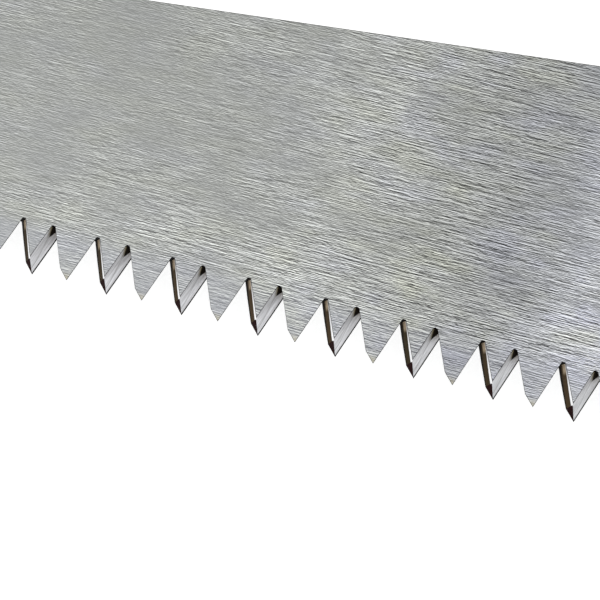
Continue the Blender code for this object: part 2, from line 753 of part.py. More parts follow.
# Pivot hardware
nut_low = -REST_HEIGHT
nut_seat = nut_low + NUT_FLANGE
barrel_top = -LINER_OUTER - BARREL_SETBACK
head_low = SHELL_HEIGHT - BOLT_HEAD_HEIGHT
bolt_seat = head_low - SPRING_WASHER - 2 * SEAT_GAP
bolt_end = nut_low + BOLT_TIP_INSET
nut_bore = BOLT_THREAD_RADIUS + SEAT_GAP
bolt = turn("pivot_bolt", PIVOT, [
    (BOLT_HEAD_RADIUS - HEAD_CHAMFER, SHELL_HEIGHT), (BOLT_HEAD_RADIUS, SHELL_HEIGHT - HEAD_CHAMFER),
    (BOLT_HEAD_RADIUS, head_low), (BOLT_RADIUS, head_low), (BOLT_RADIUS, barrel_top + SEAT_GAP),
    (BOLT_THREAD_RADIUS, barrel_top + SEAT_GAP), (BOLT_THREAD_RADIUS, bolt_end + THREAD_CHAMFER),
    (BOLT_THREAD_RADIUS - THREAD_CHAMFER, bolt_end)], WIDE_SIDES, bright, root)
socket = drum(PIVOT, BOLT_THREAD_RADIUS, SHELL_HEIGHT - BOLT_SOCKET_DEPTH, SHELL_HEIGHT + PAST, HEX)
carve(bolt, socket, "hex_socket")
turn("pivot_nut", PIVOT, [
    (nut_bore, barrel_top), (NUT_BARREL_RADIUS, barrel_top), (NUT_BARREL_RADIUS, nut_seat),
    (BOLT_HEAD_RADIUS, nut_seat), (BOLT_HEAD_RADIUS, nut_low + HEAD_CHAMFER),
    (BOLT_HEAD_RADIUS - HEAD_CHAMFER, nut_low), (0.0, nut_low), (0.0, bolt_end - SEAT_GAP),
    (nut_bore, bolt_end - SEAT_GAP)], WIDE_SIDES, bright, root, bored=True)
ring("spring_washer", PIVOT, BOLT_RADIUS + SEAT_GAP, BOLT_HEAD_RADIUS - SPRING_WASHER_INSET,
     bolt_seat + SEAT_GAP, bolt_seat + SEAT_GAP + SPRING_WASHER, dark, root)
for label, low in (("left_washer", half_blade + SEAT_GAP),
                   ("right_washer", -half_blade - SEAT_GAP - WASHER_THICKNESS)):
    ring(label, PIVOT, BOLT_RADIUS + SEAT_GAP, WASHER_RADIUS, low, low + WASHER_THICKNESS, bronze, root)

# Back spacer, with a hole for each screw and for the eyelet
spacer_mesh = prism(spacer_outline(profile, pocket_end), -SPACER_HALF, SPACER_HALF)
spacer = add("back_spacer", spacer_mesh, spacer_plastic, root)
sleeve = EYELET_BORE + EYELET_WALL
eyelet_at = Vector((butt_x - EYELET_INSET, EYELET_RISE))
first_screw = SPACER_START + SCREW_INSET
last_screw = toe_x - SCREW_END_INSET
screws = []
for x in (first_screw, (first_screw + last_screw) / 2, last_screw):
    screws.append(Vector((x, closed_tip_height(x) + TIP_CLEARANCE + SPACER_DEPTH / 2)))
screws.append(Vector((butt_x - BUTT_SCREW_INSET, -BUTT_SCREW_DROP)))
for i, spot in enumerate(screws):
    carve(spacer, drum(spot, SCREW_RADIUS + PIN_GAP, -FAR, FAR, SMALL_SIDES), f"screw_hole_{i + 1}")
carve(spacer, drum(eyelet_at, sleeve + PIN_GAP, -FAR, FAR), "eyelet_hole")

# Shell screws and their nuts
head_seat = SCREW_SEAT + SEAT_GAP
head_top = head_seat + SCREW_HEAD_HEIGHT
nut_top = -SCREW_SEAT - SEAT_GAP
for i, spot in enumerate(screws):
    screw = turn(f"shell_screw_{i + 1}", spot, [
        (SCREW_HEAD_RADIUS - THREAD_CHAMFER, head_top), (SCREW_HEAD_RADIUS, head_top - THREAD_CHAMFER),
        (SCREW_HEAD_RADIUS, head_seat), (SCREW_RADIUS, head_seat),
        (SCREW_RADIUS, nut_top - NUT_HEIGHT)], SCREW_SIDES, dark, root)
    carve(screw, drum(spot, SCREW_SOCKET_RADIUS, head_top - SCREW_SOCKET_DEPTH, FAR, HEX), "hex_socket")
    hexnut = drum(spot, SCREW_HEAD_RADIUS, nut_top - NUT_HEIGHT, nut_top, HEX)
    thread = drum(spot, SCREW_RADIUS + PIN_GAP, -FAR, FAR, SMALL_SIDES)
    carve(add(f"shell_nut_{i + 1}", hexnut, bright, root), thread, "bore")

# Eyelet, flanged at both faces
lip = SHELL_HEIGHT + PIN_GAP
flange_in = lip - EYELET_LIP
turn("hang_eyelet", eyelet_at, [
    (EYELET_BORE, lip), (EYELET_FLANGE - EYELET_CHAMFER, lip), (EYELET_FLANGE, lip - EYELET_CHAMFER),
    (EYELET_FLANGE, flange_in), (sleeve, flange_in), (sleeve, -flange_in), (EYELET_FLANGE, -flange_in),
    (EYELET_FLANGE, EYELET_CHAMFER - lip), (EYELET_FLANGE - EYELET_CHAMFER, -lip),
    (EYELET_BORE, -lip)], WIDE_SIDES, bright, root, bored=True)


def pad_recess(gap):
    """Room in both halves for the thumb pad, from pressed to raised by the lock's angle."""
    front = turned(Vector((PAD_START, PAD_TOP - PAD_RAMP_DROP)), LEVER_PIN, LOCK_ANGLE).x
    low = (front - PAD_CLEARANCE - gap, PAD_UNDER - PAD_CLEARANCE - gap, -pad_half - SIDE_GAP)
    return block(low, (PAD_END + PAD_CLEARANCE, FAR, pad_half + SIDE_GAP))


def rib_pockets(roof):
    """Hollows under the grip, with ribs left between them."""
    start = LINER_END + 2 * RIB_WIDTH
    bm = bmesh.new()
    for i in range(int((grip_end - start) / RIB_PITCH)):
        x0 = start + i * RIB_PITCH
        x1 = x0 + RIB_PITCH - RIB_WIDTH
        low = max(heights_at(profile, x0)[0], heights_at(profile, x1)[0]) + 2 * SHELL_WALL
        corners = [(x0, low), (x1, low), (x1, closed_tip_height(x1)), (x0, closed_tip_height(x0))]
        loft(bm, [[(x, y, z) for x, y in corners] for z in (0.0, roof)])
    return mesh_from("ribs", bm)


def grip_grooves():
    """Slanted grooves across the rubber panel."""
    reach = Vector((-math.sin(GROOVE_SLANT), math.cos(GROOVE_SLANT))) * (FRONT_RADIUS + GUARD_DEPTH)
    half = Vector((GROOVE_WIDTH / 2, 0.0))
    bm = bmesh.new()
    for i in range(int((grip_end - GRIP_START) / GROOVE_PITCH)):
        middle = Vector((GRIP_START + (i + 0.5) * GROOVE_PITCH, 0.0))
        corners = [middle - reach - half, middle - reach + half, middle + reach + half, middle + reach - half]
        levels = (REST_HEIGHT - GROOVE_DEPTH, REST_HEIGHT + PAST)
        loft(bm, [[(*point, z) for point in corners] for z in levels])
    return mesh_from("grooves", bm)


def spring_pocket():
    """A blind bore under the pad for the lever spring."""
    low = spring_low - SEAT_GAP
    reach = PAD_UNDER - low
    bm = bmesh.new()
    bmesh.ops.create_cone(bm, cap_ends=True, segments=SMALL_SIDES, radius1=SPRING_RADIUS + 3 * SPRING_WIRE,
                          radius2=SPRING_RADIUS + 3 * SPRING_WIRE, depth=reach)
    bmesh.ops.rotate(bm, verts=bm.verts, matrix=Matrix.Rotation(math.pi / 2, 3, "X"))
    bmesh.ops.translate(bm, verts=bm.verts, vec=(spring_at.x, low + reach / 2, spring_at.y))
    return mesh_from("spring_pocket", bm)


# Liners, shells and grips, drawn on the left and mirrored for the right
liner_loop = inset_loop(profile, LINER_INSET)
pocket_loop = inset_loop(profile, LINER_INSET - SEAT_GAP)
grip_floor = SHELL_HEIGHT - GRIP_FLOOR
for side, sign in (("left", 1), ("right", -1)):
    def on_side(mesh):
        return mesh if sign > 0 else mirrored(mesh)

    liner = add(f"{side}_liner", on_side(prism(liner_loop, SLOT_HALF, LINER_OUTER)), liner_steel, root)
    carve(liner, block((LINER_END, -FAR, -FAR), (2 * FAR, FAR, FAR)), "end")
    carve(liner, pad_recess(SEAT_GAP), "pad_recess")
    carve(liner, drum(PIVOT, BOLT_RADIUS + SEAT_GAP, -FAR, FAR), "pivot_hole")
    for label, spot in pins.items():
        carve(liner, drum(spot, PIN_RADIUS + PIN_GAP, -FAR, FAR, SMALL_SIDES), label)

    half_handle = crowned(profile, SLOT_HALF, SHELL_HEIGHT, CROWN_WIDTH, CROWN_HEIGHT, 4)
    shell = add(f"{side}_shell", on_side(half_handle), green, root)
    liner_room = prism(pocket_loop, SLOT_HALF - PAST, LINER_OUTER + SEAT_GAP)
    pocket = carve(shell, on_side(liner_room), "liner_pocket")
    carve(pocket, block((LINER_END + SEAT_GAP, -FAR, -FAR), (2 * FAR, FAR, FAR)), "end")
    carve(shell, pad_recess(0.0), "pad_recess")
    recess = prism(grip_outline(profile, grip_end, SEAT_GAP), grip_floor - SEAT_GAP, REST_HEIGHT + PAST)
    carve(shell, on_side(recess), "grip_recess")
    carve(shell, on_side(rib_pockets(grip_floor - SEAT_GAP - RIB_ROOF)), "rib_pockets")
    shank = BOLT_RADIUS if sign > 0 else NUT_BARREL_RADIUS
    carve(shell, drum(PIVOT, shank + SEAT_GAP, -FAR, FAR), "pivot_hole")
    seat = bolt_seat if sign > 0 else -nut_seat - SEAT_GAP
    carve(shell, on_side(drum(PIVOT, BOLT_HEAD_RADIUS + SEAT_GAP, seat, FAR)), "pivot_counterbore")
    sink_sides = SCREW_SIDES if sign > 0 else HEX
    for i, spot in enumerate(screws):
        carve(shell, drum(spot, SCREW_RADIUS + SEAT_GAP, -FAR, FAR, SMALL_SIDES), f"screw_hole_{i + 1}")
        sink = drum(spot, SCREW_HEAD_RADIUS + SEAT_GAP, SCREW_SEAT, FAR, sink_sides)
        carve(shell, on_side(sink), f"screw_sink_{i + 1}")
    carve(shell, drum(eyelet_at, sleeve + PIN_GAP, -FAR, FAR), "eyelet_hole")
    carve(shell, on_side(drum(eyelet_at, EYELET_FLANGE + PIN_GAP, flange_in - SEAT_GAP, FAR)), "eyelet_sink")
    if sign > 0:
        carve(shell, spring_pocket(), "spring_pocket")

    half_grip = crowned(profile, SLOT_HALF, REST_HEIGHT, CROWN_WIDTH, CROWN_HEIGHT, 4)
    grip = add(f"{side}_grip", on_side(half_grip), rubber, root)
    panel = prism(grip_outline(profile, grip_end, 0.0), grip_floor, REST_HEIGHT + PAST)
    carve(grip, on_side(panel), "panel", "INTERSECT")
    carve(grip, on_side(grip_grooves()), "grooves")
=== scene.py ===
import json
import math
import bmesh
import bpy
from mathutils import Matrix, Vector
from mathutils.geometry import intersect_point_line


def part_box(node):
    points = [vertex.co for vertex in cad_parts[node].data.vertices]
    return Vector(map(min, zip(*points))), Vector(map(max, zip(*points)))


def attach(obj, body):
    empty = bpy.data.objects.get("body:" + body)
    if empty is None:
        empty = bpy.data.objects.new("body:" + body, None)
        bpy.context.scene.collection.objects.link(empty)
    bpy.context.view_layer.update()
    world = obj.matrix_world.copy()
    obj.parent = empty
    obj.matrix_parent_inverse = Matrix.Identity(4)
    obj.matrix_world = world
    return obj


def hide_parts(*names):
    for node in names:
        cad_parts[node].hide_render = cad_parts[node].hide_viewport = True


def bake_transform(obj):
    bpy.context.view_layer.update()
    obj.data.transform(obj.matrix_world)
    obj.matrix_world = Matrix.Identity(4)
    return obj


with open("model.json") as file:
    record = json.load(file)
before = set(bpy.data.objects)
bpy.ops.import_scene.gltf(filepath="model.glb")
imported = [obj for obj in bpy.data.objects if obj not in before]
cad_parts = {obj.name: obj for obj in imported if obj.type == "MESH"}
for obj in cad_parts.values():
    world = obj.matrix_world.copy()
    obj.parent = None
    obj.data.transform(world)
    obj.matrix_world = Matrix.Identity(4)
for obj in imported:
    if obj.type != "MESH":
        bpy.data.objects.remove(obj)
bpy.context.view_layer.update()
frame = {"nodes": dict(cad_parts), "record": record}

nodes = frame["nodes"]
slotOf = {part["node"]: part["material_slot"] for part in frame["record"]["subparts"]}
mm = 0.001
print("frame loaded, nodes:", len(nodes))


# Helpers for shader trees

def newMaterial(name, metallic=0.0):
    material = bpy.data.materials.new(name)
    material.use_nodes = True
    shader = material.node_tree.nodes["Principled BSDF"]
    shader.inputs["Metallic"].default_value = metallic
    return material, material.node_tree, shader


def put(tree, socket, value):  # a socket is linked, a number or colour is set
    if isinstance(value, bpy.types.NodeSocket):
        tree.links.new(value, socket)
    elif socket.type == "RGBA" and len(value) == 3:
        socket.default_value = (*value, 1.0)
    else:
        socket.default_value = value


def calc(tree, operation, a, b=0.0):
    node = tree.nodes.new("ShaderNodeMath")
    node.operation = operation
    put(tree, node.inputs[0], a)
    put(tree, node.inputs[1], b)
    return node.outputs[0]


def product(tree, values):
    total = values[0]
    for value in values[1:]:
        total = calc(tree, "MULTIPLY", total, value)
    return total


def weighed(tree, a, b, share):  # a share of a, and the rest of b
    return calc(tree, "ADD", calc(tree, "MULTIPLY", a, share), calc(tree, "MULTIPLY", b, 1.0 - share))


def mixColour(tree, factor, a, b, blend="MIX"):
    node = tree.nodes.new("ShaderNodeMix")
    node.data_type = "RGBA"
    node.blend_type = blend
    put(tree, node.inputs["Factor"], factor)
    put(tree, node.inputs["A"], a)
    put(tree, node.inputs["B"], b)
    return node.outputs["Result"]


def fade(tree, value, start, end, toStart=0.0, toEnd=1.0):  # eased step
    node = tree.nodes.new("ShaderNodeMapRange")
    node.interpolation_type = "SMOOTHSTEP"
    for name, number in (("From Min", start), ("From Max", end), ("To Min", toStart), ("To Max", toEnd)):
        node.inputs[name].default_value = number
    put(tree, node.inputs["Value"], value)
    return node.outputs["Result"]


def ramp(tree, value, stops):
    node = tree.nodes.new("ShaderNodeValToRGB")
    bar = node.color_ramp
    while len(bar.elements) < len(stops):
        bar.elements.new(0.5)
    for element, (place, colour) in zip(bar.elements, stops):
        element.position = place
        element.color = (*colour, 1.0)
    put(tree, node.inputs["Fac"], value)
    return node.outputs["Color"]


def noise(tree, vector, scale, detail=2.0, rough=0.5):
    node = tree.nodes.new("ShaderNodeTexNoise")
    put(tree, node.inputs["Vector"], vector)
    put(tree, node.inputs["Scale"], scale)
    node.inputs["Detail"].default_value = detail
    node.inputs["Roughness"].default_value = rough
    return node.outputs["Fac"]


def bump(tree, height, strength, distance):
    node = tree.nodes.new("ShaderNodeBump")
    node.inputs["Strength"].default_value = strength
    node.inputs["Distance"].default_value = distance
    put(tree, node.inputs["Height"], height)
    return node.outputs["Normal"]


def objectPlace(tree, centre=(0.0, 0.0, 0.0), turn=0.0):  # object coordinates, moved and turned about Z
    coords = tree.nodes.new("ShaderNodeTexCoord")
    mapping = tree.nodes.new("ShaderNodeMapping")
    mapping.vector_type = "TEXTURE"
    mapping.inputs["Location"].default_value = centre
    mapping.inputs["Rotation"].default_value = (0.0, 0.0, turn)
    tree.links.new(coords.outputs["Object"], mapping.inputs["Vector"])
    return mapping.outputs["Vector"]


def ownValue(tree, name):  # a number that the mesh carries
    node = tree.nodes.new("ShaderNodeAttribute")
    node.attribute_name = name
    return node.outputs["Fac"]


def split(tree, vector):
    node = tree.nodes.new("ShaderNodeSeparateXYZ")
    put(tree, node.inputs[0], vector)
    return node.outputs


def joined(tree, *values):
    node = tree.nodes.new("ShaderNodeCombineXYZ")
    for socket, value in zip(node.inputs, values):
        put(tree, socket, value)
    return node.outputs[0]


def stretch(tree, vector, by):
    node = tree.nodes.new("ShaderNodeVectorMath")
    node.operation = "MULTIPLY"
    put(tree, node.inputs[0], vector)
    put(tree, node.inputs[1], by)
    return node.outputs[0]


def dress(tree, shader, colour, rough, normal):
    for name, value in (("Base Color", colour), ("Roughness", rough), ("Normal", normal)):
        put(tree, shader.inputs[name], value)


def greyOf(tree, value):
    node = tree.nodes.new("ShaderNodeCombineColor")
    for i in range(3):
        put(tree, node.inputs[i], value)
    return node.outputs[0]


def newGroup(name, outputs, **numbers):  # a group takes a place and some numbers
    group = bpy.data.node_groups.new(name, "ShaderNodeTree")
    group.interface.new_socket("Vector", in_out="INPUT", socket_type="NodeSocketVector")
    for label, value in numbers.items():
        socket = group.interface.new_socket(label, in_out="INPUT", socket_type="NodeSocketFloat")
        socket.default_value = value
    for label in outputs:
        group.interface.new_socket(label, in_out="OUTPUT", socket_type="NodeSocketFloat")
    return group, group.nodes.new("NodeGroupInput").outputs, group.nodes.new("NodeGroupOutput").inputs


def giveOut(group, out, **values):
    for label, value in values.items():
        group.links.new(value, out[label])


def useGroup(tree, group, **values):
    node = tree.nodes.new("ShaderNodeGroup")
    node.node_tree = group
    for label, value in values.items():
        put(tree, node.inputs[label], value)
    return node.outputs


# Effects that several materials share
effects = {
    "shortShare": 0.6,  # of short strokes among the long ones
    "longStrokes": (0.22, 1.0, 1.0),
    "hairlines": (0.15, 0.8, 1.0),
    "cloudScale": 45.0,
    "slowScale": 60.0,  # slow change in a moulding's shade, and its speckle
    "slowShare": 0.6,
    "speckle": 0.35,
    "patchScale": 260.0,  # broken patches of wear
    "wornFrom": 0.78,
}


def makeBrushing():  # strokes and hairlines along X, lengths and widths in metres, and a cloudy shade
    group, given, out = newGroup("brushing", ["Strokes", "Hairlines", "Cloud"],
                                 Length=1.2 * mm, Width=0.09 * mm)
    along, across = (calc(group, "DIVIDE", 1.0, given[label]) for label in ("Length", "Width"))
    scaled = stretch(group, given["Vector"], joined(group, along, across, across))
    short = noise(group, scaled, 1.0, 1.0)
    long = noise(group, stretch(group, scaled, effects["longStrokes"]), 1.0, 0.0)
    hairs = noise(group, stretch(group, scaled, effects["hairlines"]), 1.0, 0.0)
    giveOut(group, out, Strokes=weighed(group, short, long, effects["shortShare"]), Hairlines=hairs,
            Cloud=noise(group, given["Vector"], effects["cloudScale"]))
    return group


def makeGrain():  # fine moulded grain of a given size, with a slow change in shade
    group, given, out = newGroup("surfaceGrain", ["Height", "Shade"], Size=0.4 * mm)
    scale = calc(group, "DIVIDE", 1.0, given["Size"])
    slow = noise(group, given["Vector"], effects["slowScale"], 3.0, 0.55)
    speckle = noise(group, given["Vector"], calc(group, "MULTIPLY", scale, effects["speckle"]))
    giveOut(group, out, Height=noise(group, given["Vector"], scale, 3.0, 0.6),
            Shade=weighed(group, slow, speckle, effects["slowShare"]))
    return group


def makeEdgeWear():  # turns the wear that a mesh carries on its edges into broken patches
    group, given, out = newGroup("edgeWear", ["Mask"], Wear=0.0, Amount=0.5)
    patches = noise(group, given["Vector"], effects["patchScale"], 4.0, 0.6)
    worn = calc(group, "ADD", calc(group, "MULTIPLY", given["Wear"], given["Amount"]), patches)
    giveOut(group, out, Mask=fade(group, worn, effects["wornFrom"], 1.0))
    return group


brushing = makeBrushing()
surfaceGrain = makeGrain()
edgeWear = makeEdgeWear()
print("shared effects made")


# Finishes of the handle and its hardware, by the record's material slots

def moulded(name, colour, worn, grain, rough):
    material, tree, shader = newMaterial(name)
    place = objectPlace(tree)
    surface = useGroup(tree, surfaceGrain, Vector=place, Size=grain)
    mask = useGroup(tree, edgeWear, Vector=place, Wear=ownValue(tree, "wear"), Amount=0.6)["Mask"]
    shade = fade(tree, surface["Shade"], 0.35, 0.65, 0.86, 1.14)
    body = mixColour(tree, 1.0, colour, greyOf(tree, shade), "MULTIPLY")
    dress(tree, shader, mixColour(tree, mask, body, worn),
          fade(tree, surface["Shade"], 0.3, 0.7, rough - 0.07, rough + 0.09),
          bump(tree, surface["Height"], 0.35, grain / 3))
    return material


def plated(name, dark, light, worn, rough, length, width):
    material, tree, shader = newMaterial(name, metallic=1.0)
    place = objectPlace(tree)
    marks = useGroup(tree, brushing, Vector=place, Length=length, Width=width)
    mask = useGroup(tree, edgeWear, Vector=place, Wear=ownValue(tree, "wear"), Amount=0.55)["Mask"]
    shade = weighed(tree, marks["Strokes"], marks["Cloud"], 0.5)
    body = ramp(tree, shade, [(0.32, dark), (0.68, light)])
    dress(tree, shader, mixColour(tree, mask, body, worn),
          fade(tree, shade, 0.3, 0.7, rough + 0.1, rough - 0.06),
          bump(tree, marks["Strokes"], 0.2, 0.02 * mm))
    return material


finishes = {
    "moulded_green": moulded("mossGreenShell", colour=(0.05, 0.115, 0.058), worn=(0.13, 0.2, 0.12),
                             grain=0.35 * mm, rough=0.5),
    "grip_rubber": moulded("gripRubber", colour=(0.018, 0.018, 0.019), worn=(0.06, 0.06, 0.06),
                           grain=0.5 * mm, rough=0.78),
    "pad_plastic": moulded("padPlastic", colour=(0.022, 0.022, 0.024), worn=(0.09, 0.09, 0.09),
                           grain=0.3 * mm, rough=0.48),
    "spacer_plastic": moulded("spacerPlastic", colour=(0.035, 0.037, 0.04), worn=(0.1, 0.1, 0.1),
                              grain=0.3 * mm, rough=0.6),
    "bright_zinc": plated("zincPlate", dark=(0.42, 0.43, 0.45), light=(0.64, 0.65, 0.66),
                          worn=(0.75, 0.74, 0.7), rough=0.3, length=0.6 * mm, width=0.2 * mm),
    "blackened_steel": plated("blackOxide", dark=(0.025, 0.025, 0.028), light=(0.06, 0.06, 0.065),
                              worn=(0.3, 0.29, 0.28), rough=0.42, length=0.5 * mm, width=0.25 * mm),
    "liner_steel": plated("linerSheet", dark=(0.2, 0.2, 0.2), light=(0.38, 0.38, 0.38),
                          worn=(0.5, 0.5, 0.5), rough=0.42, length=2.0 * mm, width=0.15 * mm),
    "bearing_bronze": plated("turnedBronze", dark=(0.33, 0.19, 0.075), light=(0.55, 0.36, 0.17),
                             worn=(0.7, 0.5, 0.28), rough=0.34, length=0.3 * mm, width=0.3 * mm),
}
print("handle finishes made:", len(finishes))


# Helpers for meshes, which are drawn in millimetres and brought to metres at the end
meshing = {
    "sharpFrom": math.radians(38.0),  # edges that the shading keeps sharp
    "roundFrom": math.radians(35.0),  # outer edges that are rounded
    "weld": 0.0005,
    "nodeWeld": 0.002,
}


def meshFrom(name, bm):
    mesh = bpy.data.meshes.new(name)
    bm.to_mesh(mesh)
    bm.free()
    return mesh


def addObject(name, data):
    added = bpy.data.objects.new(name, data)
    bpy.context.scene.collection.objects.link(added)
    return added


def newPiece(name, bm, body, node):
    bmesh.ops.scale(bm, vec=(mm, mm, mm), verts=bm.verts)
    mesh = meshFrom(name, bm)
    mesh.shade_smooth()
    mesh.set_sharp_from_angle(angle=meshing["sharpFrom"])
    piece = addObject(name, mesh)
    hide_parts(node)
    if body:
        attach(piece, body)
    slot = slotOf[node]
    if slot in finishes:
        mesh.materials.append(finishes[slot])
    return piece


def low(node):
    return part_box(node)[0] / mm


def high(node):
    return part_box(node)[1] / mm


def middle(node):
    return (low(node) + high(node)) / 2


def reachOf(node):  # a round piece's radius
    return (high(node).x - low(node).x) / 2


def spanOf(node):  # a round piece's axis, bottom and top
    return middle(node), low(node).z, high(node).z


def smoothLoop(points, steps):  # a closed curve through the points
    count, loop = len(points), []
    for i in range(count):
        a, b, c, d = (points[(i + k - 1) % count] for k in range(4))
        for j in range(steps):
            t = j / steps
            loop.append(0.5 * (2 * b + (c - a) * t + (2 * a - 5 * b + 4 * c - d) * t ** 2
                               + (3 * b - a - 3 * c + d) * t ** 3))
    return loop


def inwards(loop, most, share=0.4, passes=8):  # each point's way in, and its room, less near a tight corner
    ways, room = [], []
    for i, point in enumerate(loop):
        along = (loop[(i + 1) % len(loop)] - loop[i - 1]).normalized()
        ways.append(Vector((-along.y, along.x)))
        gaps = [other - point for other in loop if ways[i].dot(other - point) > 0.0001]
        room.append(min(most, *(share * gap.length_squared / ways[i].dot(gap) for gap in gaps)))
    for k in range(passes):
        means = [(room[i - 1] + room[i] + room[(i + 1) % len(loop)]) / 3 for i in range(len(loop))]
        room = [min(pair) for pair in zip(room, means)]
    return list(zip(loop, ways, room))


def heightsAt(loop, x):  # lowest and highest point of the loop at x
    found = []
    for i, point in enumerate(loop):
        last = loop[i - 1]
        if (last.x - x) * (point.x - x) <= 0 and last.x != point.x:
            found.append(last.y + (point.y - last.y) * (x - last.x) / (point.x - last.x))
    return min(found), max(found)


def onLoop(point, loop, near=0.05, slack=0.01):
    for i in range(len(loop)):
        spot, share = intersect_point_line(point, loop[i - 1], loop[i])
        if -slack < share < 1 + slack and (spot.to_2d() - point).length < near:
            return True
    return False


def lofted(levels):  # closed rings of (loop, z), bridged in order and capped
    bm = bmesh.new()
    rings = []
    for loop, z in levels:
        verts = [bm.verts.new((point.x, point.y, z)) for point in loop]
        rings.append([bm.edges.new((verts[i - 1], verts[i])) for i in range(len(verts))])
    for lower, upper in zip(rings, rings[1:]):
        bmesh.ops.bridge_loops(bm, edges=lower + upper)
    bmesh.ops.contextual_create(bm, geom=rings[0])
    bmesh.ops.contextual_create(bm, geom=rings[-1])
    bmesh.ops.recalc_face_normals(bm, faces=bm.faces)
    return bm


def prism(loop, bottom, top):
    return lofted([(loop, bottom), (loop, top)])


def drum(at, radius, bottom, top, sides=48):
    bm = bmesh.new()
    bmesh.ops.create_cone(bm, cap_ends=True, segments=sides, radius1=radius, radius2=radius,
                          depth=top - bottom)
    bmesh.ops.translate(bm, verts=bm.verts, vec=(at.x, at.y, (bottom + top) / 2))
    return bm


def hexSocket(at, radius, top, depth):
    return drum(at, radius, top - depth, top + depth, 6)


def block(corner, opposite):
    bm = bmesh.new()
    bmesh.ops.create_cube(bm, size=1.0)
    size = Vector(opposite) - Vector(corner)
    bmesh.ops.scale(bm, vec=size, verts=bm.verts)
    bmesh.ops.translate(bm, verts=bm.verts, vec=Vector(corner) + size / 2)
    return bm


def spun(at, profile, sides=64):  # (radius, z) points turned about an upright axis
    bm = bmesh.new()
    verts = [bm.verts.new((at.x + radius, at.y, z)) for radius, z in profile]
    edges = [bm.edges.new(pair) for pair in zip(verts, verts[1:])]
    bmesh.ops.spin(bm, geom=verts + edges, cent=(at.x, at.y, 0.0), axis=(0.0, 0.0, 1.0), angle=2 * math.pi,
                   steps=sides, use_merge=True)
    bmesh.ops.remove_doubles(bm, verts=bm.verts, dist=meshing["weld"])
    bmesh.ops.recalc_face_normals(bm, faces=bm.faces)
    return bm


def together(parts):
    whole = bmesh.new()
    for part in parts:
        mesh = meshFrom("part", part)
        whole.from_mesh(mesh)
        bpy.data.meshes.remove(mesh)
    return whole


def combine(bm, tools, operation="DIFFERENCE"):  # exact cuts, or what two shapes share
    target, *helpers = (addObject("tool", meshFrom("tool", shape)) for shape in (bm, *tools))
    for helper in helpers:
        step = target.modifiers.new("cut", "BOOLEAN")
        step.operation = operation
        step.solver = "EXACT"
        step.object = helper
    mesh = bpy.data.meshes.new_from_object(target.evaluated_get(bpy.context.evaluated_depsgraph_get()))
    result = bmesh.new()
    result.from_mesh(mesh)
    bpy.data.meshes.remove(mesh)
    for item in (target, *helpers):
        used = item.data
        bpy.data.objects.remove(item, do_unlink=True)
        bpy.data.meshes.remove(used)
    bmesh.ops.remove_doubles(result, verts=result.verts, dist=meshing["weld"])
    bmesh.ops.dissolve_degenerate(result, edges=result.edges, dist=meshing["weld"])
    return result


def soften(bm, width, steps=2, covered=None):  # rounds outer edges and notes where they are as wear
    edges = [edge for edge in bm.edges
             if edge.is_manifold and edge.calc_face_angle_signed(0.0) > meshing["roundFrom"]
             and not (covered and covered((edge.verts[0].co + edge.verts[1].co) / 2))]
    made = bmesh.ops.bevel(bm, geom=edges, offset=width, segments=steps, affect="EDGES", profile=0.5,
                           clamp_overlap=False, material=-1)
    rounded = set(made["faces"])
    wear = bm.verts.layers.float.new("wear")
    for vert in bm.verts:
        vert[wear] = float(all(face in rounded for face in vert.link_faces))
    return bm


def mirrored(bm, z):  # to the other side of the blade
    bmesh.ops.scale(bm, vec=(1.0, 1.0, -1.0), verts=bm.verts)
    bmesh.ops.translate(bm, verts=bm.verts, vec=(0.0, 0.0, 2 * z))
    bmesh.ops.reverse_faces(bm, faces=bm.faces)


def copied(node, flatAngle):  # a CAD node's shape, its flat faces made whole again
    bm = bmesh.new()
    bm.from_mesh(nodes[node].data)
    bmesh.ops.scale(bm, vec=(1 / mm, 1 / mm, 1 / mm), verts=bm.verts)
    bmesh.ops.remove_doubles(bm, verts=bm.verts, dist=meshing["nodeWeld"])
    bmesh.ops.dissolve_limit(bm, angle_limit=math.radians(flatAngle), verts=bm.verts, edges=bm.edges)
    return bm


def eased(name, node, body, width):  # a CAD node's shape with its edges rounded
    return newPiece(name, soften(copied(node, 0.5), width), body, node)


# Blade: the solid's own shape, its tooth grinds told apart by where they face
blade = {
    "heel": Vector((-38.0, -12.3, 12.5)),  # first gullet, where the tooth line starts
    "tilt": math.radians(2.5),  # tooth line against X
    "pitch": 4.0,
    "thickness": 1.4,
    "flatAngle": 0.6,
    "sideFacing": 0.95,  # how squarely the sides, heel grinds and tip grinds face
    "heelFacing": 0.3,
    "tipFacing": 0.55,
    "lastGrind": 0.5,  # no grinds closer to the heel than this
    "gullet": 0.22,  # how far down a gullet's painted shade reaches
    "rimBevel": 0.12,
    "edge": 0.03,  # burr along ground edges
    "outerEdge": 0.07,  # and along those that cut,
    "cutting": -0.2,  # where the faces turn this far apart
    "marksAlong": 0.35,  # grinding marks to a millimetre, and across a face
    "marksAcross": 7.0,
}
grinds = ["flat", "toeGrind", "heelGrind", "tipGrind", "gullet", "edge", "rim"]


def grindOf(face):
    along = Vector((math.cos(blade["tilt"]), -math.sin(blade["tilt"]), 0.0))
    down = Vector((along.y, -along.x, 0.0))
    centre, normal = face.calc_center_median(), face.normal
    depth = (centre - blade["heel"]).dot(down)
    if abs(normal.z) > blade["sideFacing"]:
        return grinds.index("flat")
    if depth < 0.0 or centre.x > blade["heel"].x - blade["lastGrind"]:
        return grinds.index("rim")
    if depth < blade["gullet"]:
        return grinds.index("gullet")
    if normal.dot(along) > blade["heelFacing"]:
        return grinds.index("heelGrind")
    return grinds.index("tipGrind" if normal.dot(down) > blade["tipFacing"] else "toeGrind")


